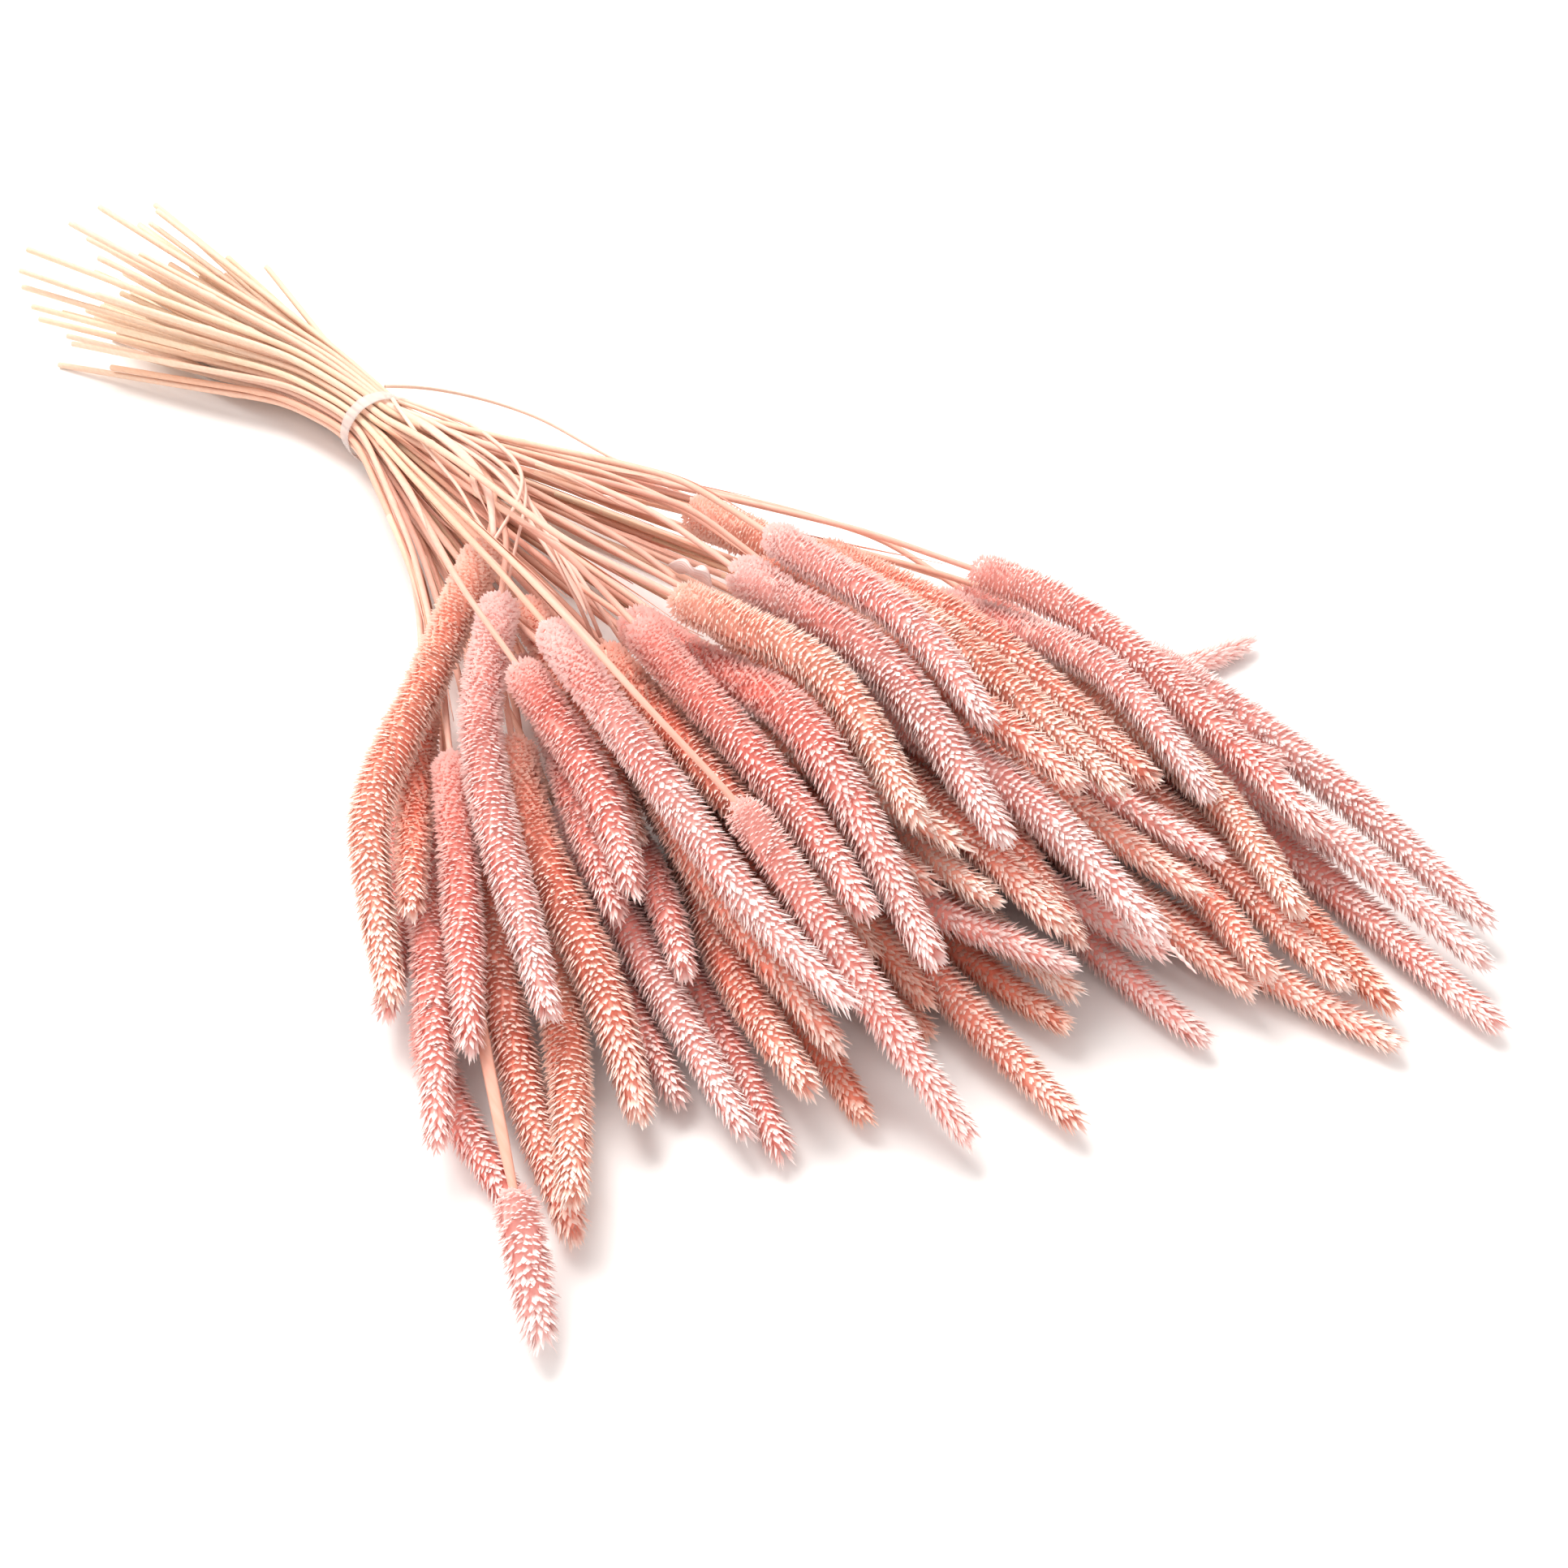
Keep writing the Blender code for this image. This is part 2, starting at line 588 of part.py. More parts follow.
def in_metres(points, centre):
    """Points in metres from the bunch's origin, with nothing below the ground."""
    points = (points - centre) * METRES
    points[:, 2] = np.maximum(points[:, 2], 0)
    return points


def new_object(name, mesh, materials, collection):
    for material in materials:
        mesh.materials.append(material)
    thing = bpy.data.objects.new(name, mesh)
    collection.objects.link(thing)
    return thing


def fuse_in_tie(shape, sides):
    """Joins two stems in the tie: the sides that face each other are opened and bridged."""
    shape.verts.ensure_lookup_table()
    edges = []
    for side in sides:
        corners = [shape.verts[k] for k in side]
        face = next(f for f in corners[0].link_faces if set(corners) == set(f.verts))
        edges += list(face.edges)
        shape.faces.remove(face)
    bmesh.ops.bridge_loops(shape, edges=edges)
    bmesh.ops.recalc_face_normals(shape, faces=shape.faces)


def grass_node(name, shapes, tie_rings, finishes, centre, collection):
    """One node of one stalk, or of two fused in the tie. tie_rings: each one's first vertex there."""
    mesh = bpy.data.meshes.new(name)
    offset, points, faces, kinds, sides = 0, [], [], [], []
    for number, (own, own_faces, own_kinds) in enumerate(shapes):
        points.append(own)
        faces += [tuple(int(v) + offset for v in face) for face in own_faces]
        kinds += [0 if kind == 0 else number + 1 for kind in own_kinds]
        low = offset + tie_rings[number]
        sides.append((low, low + 1, low + CULM_SIDES + 1, low + CULM_SIDES))
        offset += len(own)
    mesh.from_pydata(in_metres(np.vstack(points), centre).tolist(), [], faces)
    mesh.polygons.foreach_set("material_index", kinds)
    if len(shapes) == 2:
        shape = bmesh.new()
        shape.from_mesh(mesh)
        fuse_in_tie(shape, sides)
        shape.to_mesh(mesh)
        shape.free()
    return new_object(name, mesh, finishes, collection)


def leaf_shape(leaf, line):
    """A leaf rolled into a gutter: an open arc with a wall, carried along its line, narrow at its ends."""
    _, side, up = frames_along(line, np.array([0.0, 0.0, 1.0]))
    arc = np.radians(np.linspace(60, 300, 6))
    outer = leaf.radius - 0.02
    rings = []
    for k in range(len(line)):
        share = k / (len(line) - 1)
        size = 0.62 + 0.38 * math.sin(math.pi * share)
        inner = outer * size - LEAF_THICKNESS
        angles = np.concatenate([arc, arc[::-1]])
        radii = np.concatenate([np.full(6, outer * size), np.full(6, inner)])
        rings.append(ring(line[k], side[k], up[k], angles, radii))
    points = np.vstack(rings)
    faces = [tuple(range(12))[::-1]]
    for k in range(len(line) - 1):
        faces += band_faces(12 * k, 12 * (k + 1), 12)
    faces.append(tuple(range(12 * (len(line) - 1), 12 * len(line))))
    return points, faces


def leaf_node(name, leaf, line, finish, centre, collection):
    points, faces = leaf_shape(leaf, line)
    mesh = bpy.data.meshes.new(name)
    mesh.from_pydata(in_metres(points, centre).tolist(), [], faces)
    shape = bmesh.new()
    shape.from_mesh(mesh)
    bmesh.ops.triangulate(shape, faces=shape.faces)
    bmesh.ops.recalc_face_normals(shape, faces=shape.faces)
    shape.to_mesh(mesh)
    shape.free()
    return new_object(name, mesh, [finish], collection)


def tie_node(finish, centre, collection):
    """The band round the waist: a rounded strip turned round the bunch's axis, one flat side down."""
    inner, thick, half = TIE_INNER * METRES, TIE_THICKNESS * METRES, TIE_WIDTH / 2 * METRES
    first = math.pi / TIE_SIDES
    corner = thick * 0.35
    profile = [
        (inner, -half), (inner + thick - corner, -half), (inner + thick, -half + corner),
        (inner + thick, half - corner), (inner + thick - corner, half), (inner, half),
    ]
    mesh = bpy.data.meshes.new("tie")
    mesh.from_pydata(
        [(radius * math.sin(first), radius * math.cos(first), along) for radius, along in profile],
        [(k, (k + 1) % len(profile)) for k in range(len(profile))],
        [],
    )
    thing = new_object("tie", mesh, [finish], collection)
    screw = thing.modifiers.new("turn", "SCREW")
    screw.steps = screw.render_steps = TIE_SIDES
    screw.use_merge_vertices = True
    screw.merge_threshold = 0.0001
    screw.use_normal_calculate = True
    thing.location = (np.array([0, 0, TIE_HEIGHT]) - centre) * METRES
    thing.rotation_euler = (0, math.radians(90), 0)
    return thing


def finish_of(name):
    """A material with the finish's colour and roughness."""
    colour, roughness = FINISHES[name]
    material = bpy.data.materials.new(name)
    material.use_nodes = True
    shader = material.node_tree.nodes["Principled BSDF"]
    shader.inputs["Base Color"].default_value = (*colour, 1)
    shader.inputs["Roughness"].default_value = roughness
    return material


def clear_scene():
    for thing in list(bpy.data.objects):
        bpy.data.objects.remove(thing)


def side_towards(seat, other):
    return math.atan2(other[1] - seat[1], other[0] - seat[0])


def settled_bunch(seats, heads):
    """The settled bunch, and how many points of each stalk belong to its cut side and to its stem."""
    draw = np.random.default_rng(SEED)
    bunch = Bunch()
    counts = [
        add_stalk(bunch, stalk, seat, head, draw) for stalk, seat, head in zip(STALKS, seats, heads)
    ]
    for leaf in LEAVES:
        add_leaf(bunch, leaf)
    bunch.close()
    for phase in SETTLING:
        bunch.settle(*phase)
    if bunch.tightest() < 0:
        raise ValueError("some stalks overlap")
    return bunch, counts


def stalk_groups(fused):
    """The stalks of each node: each fused pair together, every other stalk alone."""
    paired = {stalk for pair in fused for stalk in pair}
    alone = [(i,) for i in range(len(STALKS)) if i not in paired]
    return sorted(alone + [tuple(sorted(pair)) for pair in fused])


def ground_centre(shapes):
    """The middle of the bunch's outline, on the ground."""
    points = np.vstack([shape[0] for shape in shapes])
    middle = (points.min(axis=0) + points.max(axis=0)) / 2
    return np.array([middle[0], middle[1], 0.0])


def main():
    clear_scene()
    collection = bpy.data.collections.new("dried_timothy_grass")
    bpy.context.scene.collection.children.link(collection)
    finishes = {name: finish_of(name) for name in FINISHES}
    heads = [head_line(stalk) for stalk in STALKS]
    seats, fused = seats_in_tie([approach_point(head) for head in heads])
    bunch, counts = settled_bunch(seats, heads)
    towards = np.zeros(len(STALKS))
    for low, high in fused:
        towards[low] = side_towards(seats[low], seats[high])
        towards[high] = side_towards(seats[high], seats[low])
    shapes = [
        stalk_shape(stalk, bunch.line(i), *counts[i], towards[i]) for i, stalk in enumerate(STALKS)
    ]
    centre = ground_centre(shapes)
    for members in stalk_groups(fused):
        name = ("stalk_", "stalks_")[len(members) - 1] + "_".join(f"{m + 1:02d}" for m in members)
        tie_rings = [(counts[m][0] - 1) * CULM_SIDES for m in members]
        dyes = [finishes["straw"]] + [finishes[STALKS[m].dye] for m in members]
        grass_node(name, [shapes[m] for m in members], tie_rings, dyes, centre, collection)
    for number, leaf in enumerate(LEAVES):
        line = bunch.line(len(STALKS) + number)
        leaf_node(f"dried_leaf_{number + 1}", leaf, line, finishes["leaf"], centre, collection)
    tie_node(finishes["band"], centre, collection)


if __name__ == "__main__":
    main()
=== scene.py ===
"""Dried timothy grass: the tied bunch with its bristly dyed heads, straw stems, leaves and tie.

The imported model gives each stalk's place. Its middle line is read back from the node's own mesh, and
round that line a round straw stem and a head of keeled, pale-tipped spikelets are worked out. Dried
leaves, loose straws and the tie's thin band are added, and the stage is a pale floor in soft light.
All lengths are in metres.
"""

import math
from functools import lru_cache

import bpy
import numpy as np
from bpy.props import FloatProperty, FloatVectorProperty, PointerProperty
from mathutils import Matrix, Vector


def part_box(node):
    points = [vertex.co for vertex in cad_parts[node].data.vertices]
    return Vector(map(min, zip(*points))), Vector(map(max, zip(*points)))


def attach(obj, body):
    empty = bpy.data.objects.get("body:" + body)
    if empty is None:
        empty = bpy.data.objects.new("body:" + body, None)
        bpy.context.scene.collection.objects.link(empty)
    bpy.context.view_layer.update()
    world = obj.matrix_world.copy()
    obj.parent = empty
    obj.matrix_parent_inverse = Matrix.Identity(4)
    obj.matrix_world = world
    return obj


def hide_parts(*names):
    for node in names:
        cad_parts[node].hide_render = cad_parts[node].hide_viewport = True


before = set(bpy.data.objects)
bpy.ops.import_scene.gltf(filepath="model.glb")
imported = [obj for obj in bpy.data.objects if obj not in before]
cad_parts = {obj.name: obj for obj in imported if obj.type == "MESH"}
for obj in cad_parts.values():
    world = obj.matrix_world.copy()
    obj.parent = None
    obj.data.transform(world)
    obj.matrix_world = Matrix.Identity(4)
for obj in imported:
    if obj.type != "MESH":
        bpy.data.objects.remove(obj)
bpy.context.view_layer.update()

bl_info = {
    "name": "Dried timothy grass",
    "version": (1, 0, 0),
    "blender": (4, 5, 0),
    "location": "View3D > Sidebar > Grass",
    "description": "Dresses a tied bunch of dyed dried timothy grass",
    "category": "Object",
}

MM = 0.001

# The least height of a piece's points over the floor
FLOOR_GAP = 0.05 * MM

# The stalks' middle lines: the step of the rings that are read, the step and the rounds of smoothing of
# the line made from them, the mean radius from which a ring belongs to the head, and the share of its
# radius that a faceted head's rings reach on average
LEVEL_STEP = 1.0 * MM
LINE_STEP = 2.0 * MM
LINE_ROUNDS = 22
HEAD_FROM = 1.9 * MM
FACET_SHARE = 0.84

# A stalk starts at least this far before the tie, its cut end reaches this far from its first point, and
# two joined stalks touch within this length to each side of the tie's middle
CUT_FROM_TIE = 30.0 * MM
CUT_REACH = 2.6 * MM
TIE_REACH = 7.0 * MM

# The stems: sides round a ring, the hollow's share of the radius and its depth, the texture's part that
# they use, and the first number of their random draws
STEM_SIDES = 8
HOLLOW_SHARE = 0.55
HOLLOW_DEPTH = 2.5 * MM
STEM_BOX = ((0.02, 0.02), (0.98, 0.98))
STEM_SEED = 1000

# The stem that widens into a flat ribbon before its head, and its hue
RIBBON_STEM = 11
RIBBON_HUE = 1.3

# The heads' core: sides round a ring, share of the head's radius, and how far the tip's blades pass it
CORE_SIDES = 12
CORE_SHARE = 0.66
TUFT = 2.2 * MM

# The head that is plush to its tip, and how far up its blades stay short
PLUSH_HEAD = 11
PLUSH_REACH = 2.2

# The head whose thin axis shows bare past its tip, how far, and how much of it hides in the tip
BARE_TIP = 51
BARE_LENGTH = 12.0 * MM
BARE_ROOT = 1.0 * MM
BARE_ROWS, BARE_SIDES = 40, 8

# The leaves: points across a strip, its thickness, the texture's part that it uses, and the number of the
# stems' leaves' random draws
LEAF_COLUMNS = 7
LEAF_THICKNESS = 0.14 * MM
LEAF_BOX = ((0.01, 0.01), (0.99, 0.99))
LEAF_SEED = 5

# The loose leaves: rows along one, how far it reaches past its node's bands, and each one's width, curl
# radius, twist at its two ends, crumple and number of its random draws
LEAF_ROWS = 30
LEAF_END = 1.5 * MM
LOOSE_LEAVES = {
    "dried_leaf_1": (9.0 * MM, 3.2 * MM, (-1.3, -0.4), 0.3, 1),
    "dried_leaf_2": (2.8 * MM, 1.8 * MM, (0.2, 2.2), 0.15, 2),
    "dried_leaf_3": (2.6 * MM, 2.0 * MM, (0.4, 3.0), 0.15, 3),
}
PAPERY_LEAF = "dried_leaf_1"

# The tie's band: points round the bunch and round its own profile, half its wall, the height of its
# creases, and a stem's radius inside it
BAND_ROWS, BAND_SIDES = 160, 14
BAND_HALF_WALL = 0.24 * MM
BAND_CREASE = 0.06 * MM
TIE_STEM_RADIUS = 0.95 * MM

# The camera, in the photograph's pixels and in metres from the tie's foot
PHOTO_SIDE = 1932
FOCAL_PIXELS = 2400.0
CAMERA_PITCH = math.radians(43.5)
CAMERA_HEIGHT = 0.302
CAMERA_FROM_TIE = (0.1088, -0.4463)
CAMERA_TURN = math.radians(55.0)

# The stage: half the floor's side, the square lights' side, the sky's colour, and each light's place, aim
# and colour, with places in metres from the tie's foot as the camera's
FLOOR_HALF = 3.0
LIGHT_SIDE = 0.8
SKY_COLOUR = (1.0, 0.945, 0.92)
KEY_LIGHT = ((-0.25, 0.5, 1.0), (0.12, -0.1, 0.0), (1.0, 0.97, 0.94))
FILL_LIGHT = ((-0.9, -0.35, 0.55), (0.1, -0.1, 0.0), (1.0, 0.97, 0.95))

# Each stalk's dye, in the order of their numbers
DYES = (
    "peach blush salmon rose salmon peach salmon rose rose rose blush rose rose rose blush rose "
    "salmon rose salmon blush rose salmon tan rose peach rose salmon tan peach salmon peach rose "
    "peach tan salmon tan salmon tan blush salmon salmon blush peach salmon rose blush rose peach "
    "rose salmon blush rose salmon rose salmon salmon salmon tan salmon rose blush blush rose rose"
).split()

# The loose straws' shade, and for each one its girth in millimetres, share of flattening, hue, and the
# places that it passes, each as the photograph's column and row and a height in millimetres
STRAW_SHADE = 1.2
LOOSE_STRAWS = (
    (1.1, 0.0, 0.3, (
        (474, 476, 23), (500, 474, 22), (545, 480, 18), (600, 492, 14), (668, 515, 11), (735, 555, 9),
        (800, 588, 9), (870, 622, 10),
    )),
    (2.3, 0.45, 0.5, (
        (462, 492, 17), (520, 520, 21), (571, 559, 28), (597, 593, 31), (607, 623, 35), (608, 664, 34),
    )),
    (1.5, 0.0, 0.6, (
        (466, 494, 17), (530, 518, 22), (594, 554, 28), (630, 580, 30), (653, 618, 31), (673, 659, 32),
        (704, 700, 32), (724, 746, 30), (740, 785, 22),
    )),
    (1.3, 0.2, 0.8, (
        (464, 500, 16), (520, 524, 21), (585, 560, 28), (620, 588, 30), (643, 622, 31), (663, 662, 32),
        (694, 704, 32), (716, 750, 29), (733, 790, 20),
    )),
    (1.3, 0.0, 0.5, (
        (476, 486, 17), (535, 506, 21), (585, 524, 25), (612, 546, 29), (639, 568, 31), (647, 592, 33),
        (638, 620, 35), (622, 645, 37), (606, 670, 38),
    )),
    (1.2, 0.0, 0.4, (
        (484, 492, 21), (506, 524, 24), (533, 562, 26), (567, 601, 29), (589, 645, 32), (612, 672, 33),
    )),
    (1.2, 0.0, 0.7, (
        (478, 490, 17), (560, 520, 22), (625, 556, 28), (650, 596, 32), (647, 630, 34), (636, 668, 34),
        (628, 705, 32), (622, 740, 25),
    )),
    (1.4, 0.6, 0.9, (
        (470, 498, 16), (560, 540, 22), (625, 588, 28), (668, 640, 30), (698, 688, 31), (735, 742, 29),
        (772, 800, 20),
    )),
)


# Shader maths


class Value:
    """A node's output. Operators on it add Math nodes, so that 1 - mask or noise * 0.4 read as sums."""

    def __init__(self, shader, socket):
        self.shader = shader
        self.socket = socket

    def maths(self, operation, *others, swap=False):
        """A Math node on this value and the others, in turned order with swap."""
        values = [self, *others]
        if swap:
            values.reverse()
        return self.shader.node("ShaderNodeMath", {"operation": operation}, dict(enumerate(values)))

    def __add__(self, other):
        return self.maths("ADD", other)

    def __sub__(self, other):
        return self.maths("SUBTRACT", other)

    def __rsub__(self, other):
        return self.maths("SUBTRACT", other, swap=True)

    def __mul__(self, other):
        return self.maths("MULTIPLY", other)

    __radd__, __rmul__ = __add__, __mul__


class Shader:
    """One material's node tree. node() makes every node but the maths on values."""

    def __init__(self, name):
        self.material = bpy.data.materials.new(name)
        self.material.use_nodes = True
        self.tree = self.material.node_tree
        self.surface = self.tree.nodes["Principled BSDF"]

    def node(self, kind, settings=None, links=None, output=0):
        """Adds a node. settings are its own properties or a ramp's stops, links its inputs."""
        made = self.tree.nodes.new(kind)
        for key, value in (settings or {}).items():
            if key == "stops":
                self.set_stops(made.color_ramp, value)
            else:
                setattr(made, key, value)
        for key, value in (links or {}).items():
            self.feed(made.inputs[key], value)
        return Value(self, made.outputs[output])

    def set_stops(self, ramp, stops):
        """Gives a colour ramp its (place, colour) stops."""
        while len(ramp.elements) < len(stops):
            ramp.elements.new(0.5)
        for element, (place, colour) in zip(ramp.elements, stops):
            element.position = place
            element.color = (*colour, 1.0)

    def feed(self, socket, value):
        """Links a value to a socket, or sets a plain number or colour on it."""
        if isinstance(value, Value):
            self.tree.links.new(value.socket, socket)
        elif socket.type == "RGBA":
            socket.default_value = (*value, 1.0)
        else:
            socket.default_value = value

    def set(self, name, value):
        """Feeds one input of the material's own shader."""
        self.feed(self.surface.inputs[name], value)

    def attribute(self, name):
        """A number that each of the piece's points carries."""
        return self.node("ShaderNodeAttribute", {"attribute_name": name}, output="Fac")

    def mix(self, share, first, second, blend="MIX"):
        """A colour between two, or their product with blend MULTIPLY."""
        links = {0: share, 6: first, 7: second}
        return self.node("ShaderNodeMix", {"data_type": "RGBA", "blend_type": blend}, links, output=2)

    def noise(self, place, scale, detail=2.0, roughness=0.5):
        links = {"Vector": place, "Scale": scale, "Detail": detail, "Roughness": roughness}
        return self.node("ShaderNodeTexNoise", None, links)

    def ramp(self, share, stops):
        """The colour that the stops give at a share."""
        return self.node("ShaderNodeValToRGB", {"stops": stops}, {"Fac": share})

    def place(self):
        """The point in the piece's own space."""
        return self.node("ShaderNodeTexCoord", output="Object")

    def stretched(self, place, factors):
        return self.node("ShaderNodeMapping", None, {"Vector": place, "Scale": factors})

    def bump(self, height, strength, distance):
        links = {"Height": height, "Strength": strength, "Distance": distance}
        return self.node("ShaderNodeBump", None, links)


# The stalks' middle lines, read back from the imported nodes


def merged_mesh(node):
    """The node's points, each once, and its edges as pairs of point numbers."""
    mesh = node.data
    points = np.empty(len(mesh.vertices) * 3)
    mesh.vertices.foreach_get("co", points)
    corners = np.empty(len(mesh.loops), int)
    mesh.loops.foreach_get("vertex_index", corners)
    _, first, index = np.unique(
        np.round(points.reshape(-1, 3), 6), axis=0, return_index=True, return_inverse=True
    )
    faces = index.reshape(-1)[corners].reshape(-1, 3)
    edges = np.vstack([faces[:, [0, 1]], faces[:, [1, 2]], faces[:, [2, 0]]])
    edges = np.unique(np.sort(edges, axis=1), axis=0)
    return points.reshape(-1, 3)[first], edges[edges[:, 0] != edges[:, 1]]


def way_along(points, edges, start):
    """Each point's shortest way along the edges from the start points, by repeated relaxing."""
    a, b = edges.T
    length = np.linalg.norm(points[a] - points[b], axis=1)
    way = np.full(len(points), np.inf)
    way[start] = 0
    for _ in range(len(points)):
        before = way.copy()
        np.minimum.at(way, a, before[b] + length)
        np.minimum.at(way, b, before[a] + length)
        if np.array_equal(way, before):
            break
    return way


def separated(points, edges):
    """The edges without those that join two stems in the tie, where the stems lie one on the other."""
    low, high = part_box("tie")
    middle = (low[0] + high[0]) / 2
    inside = np.abs(points[:, 0] - middle) < TIE_REACH
    heights = points[inside, 2]
    upper = points[:, 2] > (heights.min() + heights.max()) / 2
    a, b = edges.T
    return edges[~(inside[a] & inside[b] & (upper[a] != upper[b]))]


def middle_line(points, edges, start):
    """Centres and mean radii of the rings in which a stalk crosses even steps of way from its cut end."""
    way = way_along(points, edges, start)
    reached = np.isfinite(way[edges[:, 0]])
    a, b = edges[reached].T
    last = way[np.isfinite(way)].max()
    levels = np.arange(LEVEL_STEP / 2, last, LEVEL_STEP)[:, None]
    crossed = (way[a] <= levels) != (way[b] <= levels)
    share = np.where(crossed, (levels - way[a]) / np.where(way[a] == way[b], 1, way[b] - way[a]), 0)
    at = points[a] + (points[b] - points[a]) * share[:, :, None]
    count = crossed.sum(axis=1)[:, None]
    centres = (at * crossed[:, :, None]).sum(axis=1) / count
    apart = np.linalg.norm(at - centres[:, None], axis=2)
    radii = (apart * crossed).sum(axis=1) / count[:, 0]
    tip = points[np.where(np.isfinite(way), way, -1).argmax()]
    return np.vstack([points[start].mean(axis=0), centres, tip]), np.concatenate([[0], radii, [0]])


def stalk_lines(node):
    """The middle line and radii of each stalk of the node."""
    points, edges = merged_mesh(node)
    low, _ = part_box("tie")
    if node.name.startswith("stalks"):
        edges = separated(points, edges)
    lines = []
    left = np.ones(len(points), bool)
    while (left & (points[:, 0] < low[0] - CUT_FROM_TIE)).any():
        first = np.where(left, points[:, 0], np.inf).argmin()
        reached = np.isfinite(way_along(points, edges, [first]))
        near = reached & (np.linalg.norm(points - points[first], axis=1) < CUT_REACH)
        lines.append(middle_line(points, edges, np.flatnonzero(near)))
        left &= ~reached
    return lines


def run_of(line):
    """The length along the line to each of its points."""
    return np.concatenate([[0], np.cumsum(np.linalg.norm(np.diff(line, axis=0), axis=1))])


def smoothed(values, rounds):
    """Values with each inner one moved towards its neighbours' mean, its ends kept."""
    values = values.copy()
    for _ in range(rounds):
        values[1:-1] = values[1:-1] / 2 + (values[:-2] + values[2:]) / 4
    return values


def even_line(line, step, rounds):
    """The line sampled at even steps and smoothed."""
    run = run_of(line)
    at = np.linspace(0, run[-1], max(4, round(run[-1] / step)) + 1)
    return smoothed(np.stack([np.interp(at, run, line[:, k]) for k in range(3)], axis=1), rounds)


def stem_and_head(line, radii):
    """The stem's line from its cut end into the head, the head's line from root to tip, its radius."""
    head = np.flatnonzero(radii > HEAD_FROM)[0]
    whole = even_line(line, LINE_STEP, LINE_ROUNDS)
    root = run_of(line)[head] / run_of(line)[-1]
    cut = round(root * (len(whole) - 1))
    full = radii[head + 8 : head + 8 + (len(radii) - head) // 3]
    return whole[: cut + 2], whole[cut:], float(np.median(full)) / FACET_SHARE


def frames_along(line):
    """The line's direction at each point and two sideways vectors that turn as little as they can."""
    ahead = np.gradient(line, axis=0)
    ahead /= np.linalg.norm(ahead, axis=1)[:, None]
    side = np.zeros_like(line)
    side[0] = np.cross(ahead[0], [0.0, 0.0, 1.0])
    for k in range(1, len(line)):
        side[k] = side[k - 1] - ahead[k] * (side[k - 1] @ ahead[k])
        side[k] /= np.linalg.norm(side[k])
    side[0] /= np.linalg.norm(side[0])
    return ahead, side, np.cross(ahead, side)


class Path:
    """A middle line with its frames, read at any share of its length."""

    def __init__(self, line):
        self.line = line
        self.run = run_of(line)
        self.length = self.run[-1]
        self.frames = frames_along(line)

    def read(self, values, at):
        return np.stack([np.interp(at, self.run, values[:, k]) for k in range(3)], axis=-1)

    def at(self, run):
        """Point, direction and the two sideways vectors at each length along the line."""
        run = np.asarray(run, float)
        ahead, side, up = (self.read(values, run) for values in self.frames)
        point = self.read(self.line, np.clip(run, 0, self.length))
        beyond = np.maximum(run - self.length, 0) + np.minimum(run, 0)
        return point + ahead * beyond[..., None], ahead, side, up

    def around(self, run, angle, radius):
        """Points at an angle and distance from the line: point + cos(angle) side + sin(angle) up."""
        point, _, side, up = self.at(run)
        out = np.cos(angle)[..., None] * side + np.sin(angle)[..., None] * up
        return point + out * np.asarray(radius)[..., None]


# Meshes


class Surface:
    """Points, faces, a UV corner list and point attributes of one piece, gathered as arrays."""

    def __init__(self, *attributes):
        self.points, self.faces, self.corners, self.smooth = [], [], [], []
        self.attributes = {name: [] for name in attributes}
        self.count = 0

    def add(self, points, faces, corners, smooth=True, **attributes):
        """Adds points (n, 3), faces (m, k) and the faces' UV corners (m, k, 2)."""
        self.points.append(points)
        self.faces.append(faces + self.count)
        self.corners.append(corners)
        self.smooth.append(np.full(len(faces), smooth))
        for name, values in self.attributes.items():
            values.append(np.broadcast_to(np.asarray(attributes.get(name, 0.0), float), len(points)))
        self.count += len(points)

    def add_tube(self, points, low, high, spot, **attributes):
        """Adds a grid (rows, columns, 3) that is closed round and at its two ends.

        Its faces take the UV map's box from low to high, and its ends one spot of the map.
        """
        rows, columns = points.shape[:2]
        faces, corners = grid_faces(rows, columns)
        corners = np.array(low) + corners * (np.array(high) - np.array(low))
        for name, value in attributes.items():
            attributes[name] = np.broadcast_to(value, (rows, columns)).ravel()
        ring = np.arange(columns)
        ends = self.count + np.array([ring[::-1], (rows - 1) * columns + ring])
        self.add(points.reshape(-1, 3), faces, corners, **attributes)
        self.faces.append(ends)
        self.corners.append(np.zeros((2, columns, 2)) + np.array(spot))
        self.smooth.append(np.zeros(2, bool))

    def mesh(self, name):
        """The mesh, with nothing below the floor."""
        mesh = bpy.data.meshes.new(name)
        points = np.vstack(self.points)
        points[:, 2] = np.maximum(points[:, 2], FLOOR_GAP)
        sizes = np.concatenate([np.full(len(f), f.shape[1]) for f in self.faces])
        mesh.vertices.add(len(points))
        mesh.vertices.foreach_set("co", points.ravel())
        mesh.loops.add(int(sizes.sum()))
        mesh.loops.foreach_set("vertex_index", np.concatenate([f.ravel() for f in self.faces]))
        mesh.polygons.add(len(sizes))
        mesh.polygons.foreach_set("loop_start", np.concatenate([[0], np.cumsum(sizes)[:-1]]))
        mesh.update(calc_edges=True)
        mesh.polygons.foreach_set("use_smooth", np.concatenate(self.smooth))
        layer = mesh.uv_layers.new(name="OFBake")
        layer.uv.foreach_set("vector", np.concatenate([c.reshape(-1) for c in self.corners]))
        for key, values in self.attributes.items():
            stored = mesh.attributes.new(key, "FLOAT", "POINT")
            stored.data.foreach_set("value", np.concatenate(values))
        mesh.validate()
        return mesh


